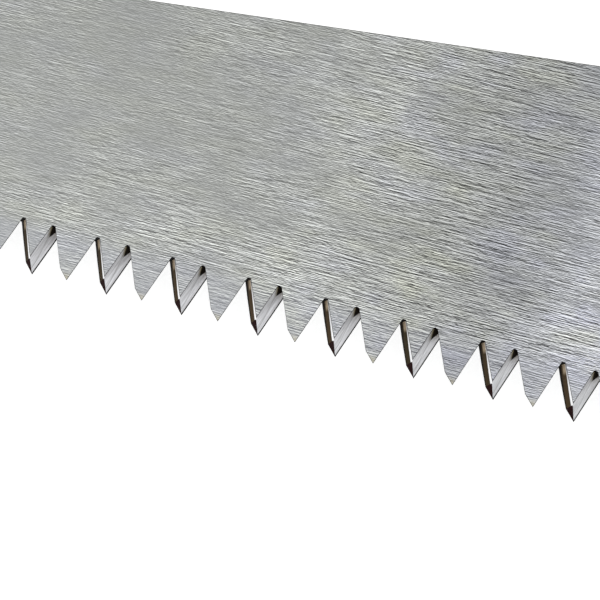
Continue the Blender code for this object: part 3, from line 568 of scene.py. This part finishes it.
def bevelFlats(bm, others, width, steps, kind, sharper=1.0):  # edges where a side meets one of the others
    flat, others = grinds.index("flat"), {grinds.index(other) for other in others}
    edges = []
    for edge in bm.edges:
        kinds = {face.material_index for face in edge.link_faces}
        if flat in kinds and kinds & others:
            first, second = edge.link_faces
            if first.normal.dot(second.normal) < sharper:
                edges.append(edge)
    made = bmesh.ops.bevel(bm, geom=edges, offset=width, segments=steps, affect="EDGES", profile=0.5,
                           clamp_overlap=False, material=-1)
    for face in made["faces"]:
        face.material_index = grinds.index(kind)


def makeBlade():
    bm = copied("saw_blade", blade["flatAngle"])
    bm.normal_update()
    facing = bm.faces.layers.float.new("facing")
    for face in bm.faces:
        face.material_index = grindOf(face)
        face[facing] = math.copysign(1.0, face.normal.z)
    ground = ["toeGrind", "heelGrind", "tipGrind", "gullet"]
    bevelFlats(bm, ["rim"], blade["rimBevel"], 2, "rim")
    bevelFlats(bm, ground, blade["outerEdge"], 1, "edge", blade["cutting"])
    bevelFlats(bm, ground, blade["edge"], 1, "edge")
    bmesh.ops.recalc_face_normals(bm, faces=bm.faces)
    piece = newPiece("sawBlade", bm, "blade", "saw_blade")
    for material in bladeMaterials():
        piece.data.materials.append(material)
    for face in piece.data.polygons:  # sides and grinds are flat
        face.use_smooth = grinds[face.material_index] == "rim"
    return piece


def makeToothPlace():  # depth under the gullet in mm, and across a ground face, from 0 inside to 1 outside
    group, given, out = newGroup("toothPlace", ["Depth", "Across", "Chance", "Grain"], Facing=1.0)
    s, down, z = split(group, given["Vector"])
    depth = calc(group, "MULTIPLY", down, -1 / mm)
    across = calc(group, "MULTIPLY", calc(group, "DIVIDE", z, -blade["thickness"] * mm), given["Facing"])
    across = calc(group, "ADD", across, 0.5)
    tooth = calc(group, "FLOOR", calc(group, "DIVIDE", s, blade["pitch"] * mm))
    chance = group.nodes.new("ShaderNodeTexWhiteNoise")
    chance.noise_dimensions = "1D"
    group.links.new(tooth, chance.inputs["W"])
    marks = joined(group, calc(group, "MULTIPLY", depth, blade["marksAlong"]),
                   calc(group, "MULTIPLY", across, blade["marksAcross"]), tooth)
    giveOut(group, out, Depth=depth, Across=across, Chance=chance.outputs["Value"],
            Grain=noise(group, marks, 1.0, 3.0, 0.6))
    return group


def bladePlace(tree, aside=0.0):  # object coordinates with X along the teeth
    return objectPlace(tree, (blade["heel"] + Vector((0.0, aside, 0.0))) * mm, -blade["tilt"])


def toothSpot(tree):
    return useGroup(tree, toothPlace, Vector=bladePlace(tree), Facing=ownValue(tree, "facing"))


# Brushed sides: places along the blade are in mm from the first gullet, minus towards the toe
steel = {
    "strokeLength": 0.42,
    "strokeWidth": 0.04,  # both sides of the blade then lie half-way in a cell of the noise
    "besideAt": 0.1,  # a weaker stroke of the other shade lies beside each one
    "besideShare": 0.6,
    "grey": (0.283, 0.283, 0.283),
    "lightHair": (0.95, 0.95, 0.96),
    "darkHair": (0.03, 0.03, 0.03),
    "strength": [(-75, -10, 0.38, 1.1), (-44, -31, 1.0, 1.3), (-29, -19, 1.0, 0.7)],  # painted light: strokes weakest at the toe, where highlights wash them out
    "patchStrength": (0.35, 0.65, 0.75, 1.25),
    "toothStrength": (-9.0, -1.0, 1.0, 1.4),
    "shade": [(-44, -26, 1.0, 0.78), (-24, -12, 1.0, 1.46), (-15, 2, 1.0, 0.84)],  # painted shade and light: a darker stretch, then lighter towards the handle
    # painted reflection tint, bluer in a stretch before the handle
    "paintedCoolTint": [(-31, -16, 0.0, 1.0), (-15, 2, 1.0, 0.3)],
    "casts": ((0.99, 1.015, 0.98), (0.975, 1.0, 1.04)),
    "mottle": [(0.7, (0.96, 0.96, 1.07)), (0.3, (1.02, 1.02, 0.91))],  # bluish and yellowish patches
    "toothTint": (0.36, 0.37, 0.43),
    "straw": (0.40, 0.37, 0.27),
}


def crispStrokes(tree):  # strokes and hairlines, both about 0
    here, beside = (useGroup(tree, brushing, Vector=bladePlace(tree, aside),
                             Length=steel["strokeLength"] * mm, Width=steel["strokeWidth"] * mm)
                    for aside in (0.0, steel["besideAt"]))
    lines = []
    for name in ("Strokes", "Hairlines"):
        apart = calc(tree, "SUBTRACT", here[name], calc(tree, "MULTIPLY", beside[name], steel["besideShare"]))
        lines.append(calc(tree, "SUBTRACT", apart, 0.5 * (1 - steel["besideShare"])))
    return lines


def flatSteel():
    material, tree, shader = newMaterial("brushedFlat", metallic=1.0)
    place, spot = bladePlace(tree), toothSpot(tree)
    x = calc(tree, "DIVIDE", split(tree, place)["X"], mm)
    patches = noise(tree, stretch(tree, place, (0.6, 1.0, 1.0)), 180.0, 1.0)
    # the strokes' strength along the blade is painted light: weaker where highlights wash them out
    strength, shade, paintedCoolTint = (product(tree, [fade(tree, x, *step) for step in steel[name]])
                             for name in ("strength", "shade", "paintedCoolTint"))
    strength = product(tree, [strength, fade(tree, patches, *steel["patchStrength"]),
                              fade(tree, spot["Depth"], *steel["toothStrength"])])
    strokes, hair = (calc(tree, "MULTIPLY", lines, strength) for lines in crispStrokes(tree))
    strokes = calc(tree, "ADD", strokes, 0.5)
    colour = ramp(tree, strokes, [(0.3, (0.0, 0.0, 0.0)), (0.5, steel["grey"]), (0.7, (1.0, 1.0, 1.0))])
    colour = mixColour(tree, fade(tree, hair, 0.1, 0.2, 0.0, 0.55), colour, steel["lightHair"])
    colour = mixColour(tree, fade(tree, hair, -0.1, -0.2, 0.0, 0.6), colour, steel["darkHair"])
    # painted shade and light along the blade, then a painted reflection tint
    for layer in (greyOf(tree, shade), mixColour(tree, paintedCoolTint, *steel["casts"])):
        colour = mixColour(tree, 1.0, colour, layer, "MULTIPLY")
    mottle = noise(tree, stretch(tree, place, (0.5, 1.0, 1.0)), 350.0)
    for full, tint in steel["mottle"]:
        share = calc(tree, "MULTIPLY", fade(tree, mottle, 0.5, full, 0.0, 0.45), strength)
        colour = mixColour(tree, share, colour, tint, "MULTIPLY")
    colour = mixColour(tree, fade(tree, spot["Depth"], -0.6, 1.5, 0.0, 0.25), colour, steel["toothTint"])
    colour = mixColour(tree, fade(tree, spot["Depth"], 4.2, 5.1, 0.0, 0.7), colour, steel["straw"])
    dress(tree, shader, colour, fade(tree, strokes, 0.3, 0.7, 0.5, 0.36),
          bump(tree, strokes, 0.25, 0.02 * mm))
    return material


# Ground faces and what grinding burnt into them, with painted shade in and below the gullets and on the
# toe-facing faces
grindColours = {
    "bright": (0.88, 0.88, 0.89),
    # brown and black: a tint burnt in by grinding, darkened into painted shade on the toe-facing faces
    "brown": ((0.075, 0.048, 0.025), (0.038, 0.028, 0.014)),
    "black": (0.010, 0.008, 0.006),
    "cream": (0.5, 0.4, 0.28),
    "clean": ((0.74, 0.74, 0.76), (0.88, 0.89, 0.92)),
    "seam": (0.25, 0.24, 0.23),
    "olive": (0.19, 0.16, 0.09),
    # near black, for the painted shade below the gullets and for the dark outer edge
    "nearBlack": (0.012, 0.009, 0.006),
    "corner": (0.85, 0.85, 0.86),
    "burnt": ((0.017, 0.002, 0.002), (0.007, 0.001, 0.001)),
    # painted shade: near black in the narrow gullets
    "gullet": ((0.007, 0.006, 0.005), (0.004, 0.004, 0.004)),
    "edge": ((0.02, 0.016, 0.012), (0.008, 0.006, 0.005)),
    "rim": ((0.05, 0.05, 0.048), (0.2, 0.2, 0.195)),
}


def grainRamp(tree, value, start, end, colours):
    return ramp(tree, value, list(zip((start, end), colours)))


def wedge(tree, spot, reach, centre, half, soft):  # 1 in a triangle from the gullet down to its reach
    off = calc(tree, "ABSOLUTE", calc(tree, "SUBTRACT", spot["Across"], centre))
    longest = calc(tree, "ADD", calc(tree, "MULTIPLY", spot["Chance"], reach / 3), reach)
    inside = calc(tree, "SUBTRACT", 1.0, calc(tree, "DIVIDE", spot["Depth"], longest))
    return fade(tree, calc(tree, "SUBTRACT", inside, calc(tree, "DIVIDE", off, half)), 0.0, soft)


def finishGrind(tree, shader, spot, colour, darkening=None, mirror=1.0):  # darkened steel is dull: burnt by grinding, and where shade is painted
    shade = fade(tree, spot["Grain"], 0.3, 0.7, 0.85, 1.1)
    if darkening is None:
        rough = fade(tree, spot["Grain"], 0.3, 0.7, 0.65, 0.5)
    else:
        rough = fade(tree, darkening, 0.0, 1.0, 0.3, 0.6)
        put(tree, shader.inputs["Metallic"], fade(tree, darkening, 0.0, 1.0, mirror, 0.0))
    shader.inputs["Specular IOR Level"].default_value = 0.03
    dress(tree, shader, mixColour(tree, 1.0, colour, greyOf(tree, shade), "MULTIPLY"), rough,
          bump(tree, spot["Grain"], 0.2, 0.01 * mm))


def toeGrind():  # a brown band that slants over the face, bright beside it: a tint burnt in by grinding, its darkness painted shade for the dark that the toe-facing face mirrors
    material, tree, shader = newMaterial("toeGrind")
    spot = toothSpot(tree)
    off = calc(tree, "SUBTRACT", spot["Across"], fade(tree, spot["Depth"], 0.0, 4.1, 0.50, 0.68))
    band = fade(tree, calc(tree, "ABSOLUTE", off), 0.36, 0.44, 1.0, 0.0)
    brown = mixColour(tree, spot["Chance"], *grindColours["brown"])
    colour = mixColour(tree, fade(tree, off, 0.06, 0.22), brown, grindColours["black"])
    cream = calc(tree, "MULTIPLY", fade(tree, spot["Depth"], 0.7, 1.2, 0.8, 0.0),
                 fade(tree, off, -0.12, 0.05, 1.0, 0.0))
    colour = mixColour(tree, cream, colour, grindColours["cream"])
    finishGrind(tree, shader, spot, mixColour(tree, band, grindColours["bright"], colour), band)
    return material


def heelGrind():  # black wedge at the gullet end, painted shade where the narrow gullet shades the face, through olive to clean grey, with a dark outer edge
    material, tree, shader = newMaterial("heelGrind")
    spot = toothSpot(tree)
    off = calc(tree, "SUBTRACT", spot["Across"], fade(tree, spot["Depth"], 0.8, 4.6, 0.33, 0.62))
    seam = fade(tree, calc(tree, "ABSOLUTE", off), 0.0, 0.06, 0.4, 0.0)
    olive = wedge(tree, spot, 1.3, 0.25, 0.6, 0.6)
    outerEdge = fade(tree, spot["Across"], 0.83, 0.89)
    # painted shade: a black wedge below the gullet, joined by the dark outer edge
    darkening = calc(tree, "MAXIMUM", wedge(tree, spot, 1.05, 0.36, 0.34, 0.2), outerEdge)
    colour = grainRamp(tree, spot["Grain"], 0.25, 0.75, grindColours["clean"])
    for share, name in ((seam, "seam"), (olive, "olive"), (darkening, "nearBlack")):
        colour = mixColour(tree, share, colour, grindColours[name])
    dull = calc(tree, "MAXIMUM", darkening, calc(tree, "MULTIPLY", olive, 0.5))
    finishGrind(tree, shader, spot, colour, dull, 0.35)
    return material


def tipGrind():  # burnt dark but for the corner beside the bright edge of the toe grind
    material, tree, shader = newMaterial("tipGrind")
    spot = toothSpot(tree)
    below = calc(tree, "MULTIPLY", calc(tree, "SUBTRACT", spot["Depth"], 4.0), 0.7)
    darkening = fade(tree, calc(tree, "ADD", spot["Across"], below), 0.04, 0.12)
    burnt = grainRamp(tree, spot["Grain"], 0.3, 0.7, grindColours["burnt"])
    finishGrind(tree, shader, spot, mixColour(tree, darkening, grindColours["corner"], burnt), darkening)
    return material


def darkAllOver(name, colours):  # one dark colour all over: painted shade in the gullets, a dark burr along the edges
    material, tree, shader = newMaterial(name)
    spot = toothSpot(tree)
    finishGrind(tree, shader, spot, grainRamp(tree, spot["Grain"], 0.3, 0.7, colours))
    return material


def rimSteel():
    material, tree, shader = newMaterial("stampedRim", metallic=1.0)
    marks = useGroup(tree, brushing, Vector=objectPlace(tree), Length=0.3 * mm, Width=0.3 * mm)
    dress(tree, shader, grainRamp(tree, marks["Strokes"], 0.3, 0.7, grindColours["rim"]),
          fade(tree, marks["Cloud"], 0.3, 0.7, 0.4, 0.55), bump(tree, marks["Strokes"], 0.3, 0.03 * mm))
    return material


def bladeMaterials():
    made = {
        "flat": flatSteel(),
        "toeGrind": toeGrind(),
        "heelGrind": heelGrind(),
        "tipGrind": tipGrind(),
        "gullet": darkAllOver("gulletShade", grindColours["gullet"]),
        "edge": darkAllOver("groundEdge", grindColours["edge"]),
        "rim": rimSteel(),
    }
    return [made[kind] for kind in grinds]


toothPlace = makeToothPlace()
sawBlade = makeBlade()
midZ = middle("saw_blade").z
print("blade made, faces:", len(sawBlade.data.polygons))


# Handle shells: the outline runs along the belly, round the butt, along the back and round the front
handle = {
    "guard": (12.5, 20.5),  # place along X and depth below the pivot
    "finger": (50.0, 9.5),
    "fingerLean": 0.6,  # how much a point between two others takes after the second
    "swell": 12.5,
    "waist": (55.5, 9.5),  # these are measured from the butt's end
    "hook": (13.5, 18.5),
    "hookLean": 0.65,
    "buttRound": 4.0,
    "buttLength": 17.0,
    "buttHeights": (-0.78, -0.15, 0.62),  # shares of the hook's depth, and of the back's height
    "backHeight": 28.164,  # of the back's line at the pivot
    "backFall": math.tan(math.radians(2.5)),
    "backSteps": 4,
    "front": 25.0,
    "frontAngles": range(76, 247, 34),
    "crownWidth": 10.0,
    "crownHeight": 7.5,
    "crownSteps": 10,
    "steps": 10,
    "evenings": 4,
    "gap": 0.3,
    "edge": 0.3,
}

# Rooms in the shells, given for the left one
rooms = {
    "roof": 40.0,  # cuts from outside start here
    "far": 400.0,
    "linerInset": 2.3,
    "linerEnd": 60.1,
    "padFront": 1.7,  # play of the thumb pad
    "padBack": 0.7,
    "padSide": 0.4,
    "screwBore": 1.9,
    "screwFloor": 17.1,
    "screwSides": {"left": 48, "right": 6},  # round heads on one side, hexagonal nuts on the other
    "pivotBore": {"left": 4.3, "right": 5.8},
    "pivotSink": 8.8,
    "pivotFloor": {"left": 20.6, "right": 21.5},
    "eyeletBore": 5.7,
    "eyeletSink": 7.2,
    "eyeletFloor": 23.5,
    "eyeletRim": 7.6,
    "ribStart": 3.7,  # hollows behind the rubber panel, after the liner
    "ribLength": 26.0,
    "ribStep": 28.0,
    "ribBelly": 6.0,
    "ribBack": 9.0,
    "ribRoof": 2.2,
    "springRadius": 2.4,
    "springDepth": 12.0,
}

# Rubber panels: they follow the crown, half a millimetre proud, with slanted grooves
grip = {
    "start": 70.0,
    "fromButt": 32.0,
    "belly": 4.0,
    "back": 10.5,
    "endEase": 3.5,
    "steps": 8,
    "proud": 0.5,
    "draft": 0.9,
    "over": 1.0,  # the drafted sides and grooves run past the rubber
    "grooveFloor": 0.8,
    "grooveWidth": 2.6,  # where its sloping sides end
    "grooveDepth": 0.9,
    "groovePitch": 9.0,
    "grooveSlant": math.radians(18.0),
    "grooveReach": 60.0,
}


def backHeight(x):
    return handle["backHeight"] - x * handle["backFall"]


def handleOutline():
    butt = high("left_shell").x
    guard, finger = (Vector((x, -depth)) for x, depth in (handle["guard"], handle["finger"]))
    waist, hook = (Vector((butt - x, -depth)) for x, depth in (handle["waist"], handle["hook"]))
    third, swell = (waist.x - finger.x) / 3, -handle["swell"]
    corner, face, back = handle["buttHeights"]
    between = Vector(((guard.x + finger.x) / 2, guard.lerp(finger, handle["fingerLean"]).y))
    points = [
        guard, between, finger, (finger.x + third, swell), (waist.x - third, swell), waist,
        Vector((waist.lerp(hook, handle["hookLean"]).x, hook.lerp(waist, handle["hookLean"]).y)), hook,
        (butt - handle["buttRound"], -corner * hook.y), (butt, -face * hook.y),
        (butt - handle["buttRound"], back * backHeight(butt))]
    last = butt - handle["buttLength"]
    for i in range(handle["backSteps"] + 1):
        x = last - (last - finger.x) * i / handle["backSteps"]
        points.append((x, backHeight(x)))
    for degrees in handle["frontAngles"]:
        angle = math.radians(degrees)
        points.append((handle["front"] * math.cos(angle), handle["front"] * math.sin(angle)))
    loop = smoothLoop([Vector(point) for point in points], handle["steps"])
    for k in range(handle["evenings"]):  # evens out the bend where short and long stretches meet
        loop = [(loop[i - 1] + 2 * loop[i] + loop[(i + 1) % len(loop)]) / 4 for i in range(len(loop))]
    return loop


def crownedBody(shift=0.0):  # half of the handle: straight side, then an elliptical crown up to a flat
    inner, top = low("left_shell").z, high("left_shell").z + shift
    levels = [(outline, inner)]
    for i in range(handle["crownSteps"] + 1):
        angle = math.pi / 2 * i / handle["crownSteps"]
        ring = [point + way * room * (1 - math.cos(angle)) for point, way, room in outlineWays]
        levels.append((ring, top - handle["crownHeight"] * (1 - math.sin(angle))))
    return lofted(levels)


def gripLoop(margin):  # the rubber panel's outline, further from the back, where the screws are
    start, end = grip["start"] - margin, high("left_shell").x - grip["fromButt"] + margin
    bottom, top = [], []
    for i in range(grip["steps"] + 1):
        x = start + (end - start) * i / grip["steps"]
        lowest, highest = heightsAt(outline, x)
        ease = 0.0 if 0 < i < grip["steps"] else grip["endEase"]
        bottom.append(Vector((x, lowest + grip["belly"] - margin + ease)))
        top.append(Vector((x, highest - grip["back"] + margin - ease)))
    return smoothLoop(bottom + top[::-1], grip["steps"])


def linerRoom():
    loop = [point + way * min(room, rooms["linerInset"]) for point, way, room in outlineWays]
    whole = prism(loop, low("left_shell").z - 1, high("left_liner").z + handle["gap"])
    behind = block((rooms["linerEnd"], -rooms["far"], 0.0), (rooms["far"], rooms["far"], rooms["roof"]))
    return combine(whole, [behind])


def padRoom():
    first, last = low("thumb_pad"), high("thumb_pad")
    return block((first.x - rooms["padFront"], first.y - rooms["padBack"], first.z - rooms["padSide"]),
                 (last.x + rooms["padBack"], rooms["far"], last.z + rooms["padSide"]))


def ribRooms(roof):
    hollows = []
    x = rooms["linerEnd"] + rooms["ribStart"]
    while x + rooms["ribStep"] < high("left_shell").x - grip["fromButt"]:
        end = x + rooms["ribLength"]
        bottom = max(heightsAt(outline, x)[0], heightsAt(outline, end)[0]) + rooms["ribBelly"]
        top = min(backHeight(x), backHeight(end)) - rooms["ribBack"]
        hollows.append(block((x, bottom, 0.0), (end, top, roof)))
        x += rooms["ribStep"]
    return hollows


def springRoom():
    at = middle("lever_spring")
    bm = drum(Vector((0.0, 0.0)), rooms["springRadius"], 0.0, rooms["springDepth"], 32)
    bmesh.ops.rotate(bm, verts=bm.verts, matrix=Matrix.Rotation(-math.pi / 2, 3, "X"))
    bmesh.ops.translate(bm, verts=bm.verts, vec=(at.x, low("lever_spring").y - handle["gap"], at.z))
    return bm


def makeShell(side):
    roof, gap = rooms["roof"], handle["gap"]
    pivotAt, eyeletAt = middle("pivot_bolt"), middle("hang_eyelet")
    panel, panelFloor = gripLoop(gap), low("left_grip").z - gap
    tools = [
        linerRoom(), padRoom(), prism(panel, panelFloor, roof),
        drum(pivotAt, rooms["pivotBore"][side], 0.0, roof),
        drum(pivotAt, rooms["pivotSink"], rooms["pivotFloor"][side], roof, 64),
        drum(eyeletAt, rooms["eyeletBore"], 0.0, roof),
        drum(eyeletAt, rooms["eyeletSink"], rooms["eyeletFloor"], roof, 64)]
    rims = [(eyeletAt, rooms["eyeletRim"])]
    for i in range(1, 5):
        at, reach = middle(f"shell_screw_{i}"), reachOf(f"shell_screw_{i}")
        rims.append((at, reach + 2 * gap))
        tools.append(drum(at, rooms["screwBore"], 0.0, roof, 32))
        tools.append(drum(at, reach + gap, rooms["screwFloor"], roof, rooms["screwSides"][side]))
    tools += ribRooms(panelFloor - rooms["ribRoof"])
    if side == "left":
        tools.append(springRoom())

    def hidden(point):  # rims of the sinks and under the rubber panel stay sharp
        sunk = any((point - at).to_2d().length < reach for at, reach in rims)
        return sunk or onLoop(point.to_2d(), panel)

    bm = soften(combine(crownedBody(), tools), handle["edge"], covered=hidden)
    if side == "right":
        mirrored(bm, midZ)
    newPiece(f"{side}Shell", bm, "handle", f"{side}_shell")


def makeGrip(side):
    floor, over = low("left_grip").z, high("left_grip").z + grip["over"]
    drafted = lofted([(gripLoop(0.0), floor), (gripLoop(-grip["draft"]), over)])
    bm = combine(drafted, [crownedBody(grip["proud"])], "INTERSECT")
    length = high("left_shell").x - grip["fromButt"] - grip["start"]
    lean = Vector((math.sin(grip["grooveSlant"]), math.cos(grip["grooveSlant"]))) * grip["grooveReach"]
    strips = []
    for i in range(int(length / grip["groovePitch"])):
        at = Vector((grip["start"] + (i + 0.5) * grip["groovePitch"], 0.0))
        levels = []
        for width, z in ((grip["grooveFloor"], floor + grip["over"]), (grip["grooveWidth"], over)):
            half = Vector((width / 2, 0.0))
            levels.append(([at - lean - half, at - lean + half, at + lean + half, at + lean - half], z))
        strips.append(lofted(levels))
    grooves = combine(together(strips), [crownedBody(grip["proud"] - grip["grooveDepth"])])
    bm = combine(bm, [grooves])
    if side == "right":
        mirrored(bm, midZ)
    newPiece(f"{side}Grip", bm, "handle", f"{side}_grip")


outline = handleOutline()
outlineWays = inwards(outline, handle["crownWidth"])
for side in ("left", "right"):
    makeShell(side)
    makeGrip(side)
    eased(f"{side}Liner", f"{side}_liner", "handle", 0.2)
print("shells, grips and liners made")


# Back spacer between the shells, and the eyelet that goes through it
eyelet = {"bore": 4.5, "tube": 5.5, "flange": 7.0, "flangeThick": 0.9, "edge": 0.4}


def makeEyelet():
    at, bottom, top = spanOf("hang_eyelet")
    bore, tube, flange, thick = (eyelet[name] for name in ("bore", "tube", "flange", "flangeThick"))
    profile = [(bore, top), (flange, top), (flange, top - thick), (tube, top - thick), (tube, bottom + thick),
               (flange, bottom + thick), (flange, bottom), (bore, bottom), (bore, top)]
    newPiece("hangEyelet", soften(spun(at, profile), eyelet["edge"], 3), "handle", "hang_eyelet")


eased("backSpacer", "back_spacer", "handle", 0.3)
makeEyelet()
print("spacer and eyelet made")


# Pivot: bolt with a hex socket, flanged nut with two spanner holes, washers and the blade's bush
bolt = {
    "head": [(0.0, 0.0), (4.2, 0.0), (6.8, 0.35), (8.5, 0.9), (8.5, 2.2), (4.0, 2.2)],  # radius, depth
    "shank": 4.0,
    "shankEnd": 12.0,  # below the spring washer
    "thread": 3.0,
    "threadEnd": 0.5,
    "socket": 3.0,
    "socketDepth": 1.6,
    "edge": 0.25,
}
nut = {
    "thread": 3.3,
    "neck": 5.5,
    "flange": 8.5,
    "flangeThick": 3.2,
    "chamfer": 0.8,
    "cap": 1.7,
    "spannerReach": 5.2,
    "spannerHole": 1.0,
    "spannerDepth": 1.2,
    "edge": 0.2,
}
washer = {"bore": 4.3, "edge": 0.1}


def makeBolt():
    at, bottom, top = spanOf("pivot_bolt")
    shankEnd = low("spring_washer").z - bolt["shankEnd"]
    thread, threadEnd = bolt["thread"], bolt["threadEnd"]
    profile = [(radius, top - depth) for radius, depth in bolt["head"]]
    profile += [(bolt["shank"], shankEnd), (thread, shankEnd), (thread, bottom + threadEnd),
                (thread - threadEnd, bottom), (0.0, bottom)]
    socket = hexSocket(at, bolt["socket"], top, bolt["socketDepth"])
    newPiece("pivotBolt", soften(combine(spun(at, profile), [socket]), bolt["edge"]), "handle", "pivot_bolt")


def makeNut():
    at, bottom, top = spanOf("pivot_nut")
    thread, neck, flange, chamfer = (nut[name] for name in ("thread", "neck", "flange", "chamfer"))
    shoulder, cap = bottom + nut["flangeThick"], bottom + nut["cap"]
    profile = [(thread, top), (neck, top), (neck, shoulder), (flange, shoulder), (flange, bottom + chamfer),
               (flange - chamfer, bottom), (0.0, bottom), (0.0, cap), (thread, cap), (thread, top)]
    depth = nut["spannerDepth"]
    holes = [drum(at + Vector((reach, 0, 0)), nut["spannerHole"], bottom - depth, bottom + depth, 32)
             for reach in (-nut["spannerReach"], nut["spannerReach"])]
    newPiece("pivotNut", soften(combine(spun(at, profile), holes), nut["edge"]), "handle", "pivot_nut")


def makeRing(name, node, body):
    (at, bottom, top), rim, bore = spanOf(node), reachOf(node), washer["bore"]
    profile = [(bore, top), (rim, top), (rim, bottom), (bore, bottom), (bore, top)]
    newPiece(name, soften(spun(at, profile), washer["edge"]), body, node)


makeBolt()
makeNut()
makeRing("springWasher", "spring_washer", "handle")
makeRing("leftWasher", "left_washer", "handle")
makeRing("rightWasher", "right_washer", "handle")
makeRing("pivotBush", "pivot_bush", "blade")
print("pivot made")


# Screws, their nuts and the pins
screw = {"head": 2.8, "headHeight": 2.0, "chamfer": 0.5, "shank": 1.6, "socket": 1.2, "socketDepth": 1.2,
         "edge": 0.12, "sides": 40}
pin = {"edge": 0.3, "sides": 40}


def makeScrew(name, node):
    at, bottom, top = spanOf(node)
    head, shank, chamfer, neck = screw["head"], screw["shank"], screw["chamfer"], top - screw["headHeight"]
    profile = [(0.0, top), (head - chamfer, top), (head, top - chamfer), (head, neck), (shank, neck),
               (shank, bottom), (0.0, bottom)]
    socket = hexSocket(at, screw["socket"], top, screw["socketDepth"])
    bm = combine(spun(at, profile, screw["sides"]), [socket])
    newPiece(name, soften(bm, screw["edge"]), "handle", node)


def makePin(name, node):
    (at, bottom, top), rim = spanOf(node), reachOf(node)
    profile = [(0.0, top), (rim, top), (rim, bottom), (0.0, bottom)]
    newPiece(name, soften(spun(at, profile, pin["sides"]), pin["edge"]), "handle", node)


for i in range(1, 5):
    makeScrew(f"shellScrew{i}", f"shell_screw_{i}")
    eased(f"shellNut{i}", f"shell_nut_{i}", "handle", 0.2)
makePin("leverPin", "lever_pin")
makePin("openStopPin", "open_stop_pin")
makePin("closedStopPin", "closed_stop_pin")
print("screws, nuts and pins made")


# Lock lever, its thumb pad and the coil spring under it
spring = {"wire": 0.3, "radius": 1.5, "turns": 5, "endTurns": 1, "endGap": 1.05, "steps": 28, "wireSides": 12}


def makeSpring():  # a ring of wire that climbs as it turns, close at both ends
    at, bottom, top = middle("lever_spring"), low("lever_spring").y, high("lever_spring").y
    wire, steps, ends = spring["wire"], spring["steps"], spring["endTurns"]
    endPitch = 2 * wire * spring["endGap"]
    pitch = (top - bottom - 2 * wire - 2 * ends * endPitch) / spring["turns"]
    bm = bmesh.new()
    bmesh.ops.create_circle(bm, cap_ends=False, segments=spring["wireSides"], radius=wire)
    bmesh.ops.translate(bm, verts=bm.verts, vec=(at.x + spring["radius"], bottom + wire, at.z))
    circle = list(bm.edges)
    bmesh.ops.contextual_create(bm, geom=circle)
    geom = list(bm.verts) + circle
    for turns, climb in ((ends, endPitch), (spring["turns"], pitch), (ends, endPitch)):
        made = bmesh.ops.spin(bm, geom=geom, cent=(at.x, 0.0, at.z), axis=(0.0, -1.0, 0.0),
                              dvec=(0.0, climb / steps, 0.0), angle=2 * math.pi * turns, steps=steps * turns)
        geom = [item for item in made["geom_last"] if not isinstance(item, bmesh.types.BMFace)]
    bmesh.ops.contextual_create(bm, geom=[item for item in geom if isinstance(item, bmesh.types.BMEdge)])
    bmesh.ops.recalc_face_normals(bm, faces=bm.faces)
    piece = newPiece("leverSpring", bm, None, "lever_spring")
    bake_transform(piece)


eased("lockLever", "lock_lever", "lock_lever", 0.25)
eased("thumbPad", "thumb_pad", "lock_lever", 0.2)
makeSpring()
print("lock made")


# Camera: where the photograph was taken from, over the teeth
view = {
    "place": (-32.02 * mm, -83.70 * mm, 240.84 * mm),
    "turn": (19.816, 6.738, 15.527),
    "angle": 13.726,
}
camera = addObject("camera", bpy.data.cameras.new("camera"))
camera.location = view["place"]
camera.rotation_euler = [math.radians(angle) for angle in view["turn"]]
camera.data.angle = math.radians(view["angle"])
bpy.context.scene.camera = camera


# Floor and light
studio = {
    "floorSize": 6.0,
    "floorGrey": 0.8,
    "floorLift": 0.6,  # white that the eye sees over the floor's own shade
    "world": 0.7,
    "key": {"place": (-0.75, -0.1, 1.1), "aim": (0.0, 0.0, 0.0), "size": 0.7, "power": 3.6},
    "fill": {"place": (0.6, -1.0, 0.7), "aim": (0.05, 0.0, 0.0), "size": 0.9, "power": 2.0},
}


def seenDirectly(tree):  # 1 for rays that show the background itself
    path = tree.nodes.new("ShaderNodeLightPath")
    seen = calc(tree, "MAXIMUM", path.outputs["Is Camera Ray"], path.outputs["Is Glossy Ray"])
    return calc(tree, "MAXIMUM", seen, path.outputs["Is Transmission Ray"])


def makeFloor():
    bm = bmesh.new()
    bmesh.ops.create_grid(bm, x_segments=1, y_segments=1, size=studio["floorSize"] / 2)
    floor = addObject("floor", meshFrom("floor", bm))
    material, tree, shader = newMaterial("paleFloor")
    shader.inputs["Base Color"].default_value = (*[studio["floorGrey"]] * 3, 1.0)
    shader.inputs["Roughness"].default_value = 0.9
    shader.inputs["Specular IOR Level"].default_value = 0.0
    shader.inputs["Emission Color"].default_value = (1.0, 1.0, 1.0, 1.0)
    lift = calc(tree, "MULTIPLY", seenDirectly(tree), studio["floorLift"])
    put(tree, shader.inputs["Emission Strength"], lift)
    floor.data.materials.append(material)


def makeWorld():
    world = bpy.data.worlds.new("studio")
    world.use_nodes = True
    tree = world.node_tree
    back = tree.nodes["Background"]
    back.inputs["Color"].default_value = (1.0, 1.0, 1.0, 1.0)
    put(tree, back.inputs["Strength"], fade(tree, seenDirectly(tree), 0.0, 1.0, studio["world"], 1.0))
    bpy.context.scene.world = world


def makeLamp(name):
    lamp = studio[name]
    light = addObject(name, bpy.data.lights.new(name, "AREA"))
    light.data.size = lamp["size"]
    light.data.energy = lamp["power"]
    light.location = lamp["place"]
    way = Vector(lamp["aim"]) - Vector(lamp["place"])
    light.rotation_euler = way.to_track_quat("-Z", "Y").to_euler()


makeFloor()
makeWorld()
makeLamp("key")
makeLamp("fill")
bpy.context.scene.view_settings.view_transform = "Standard"
print("camera, floor and lights placed")
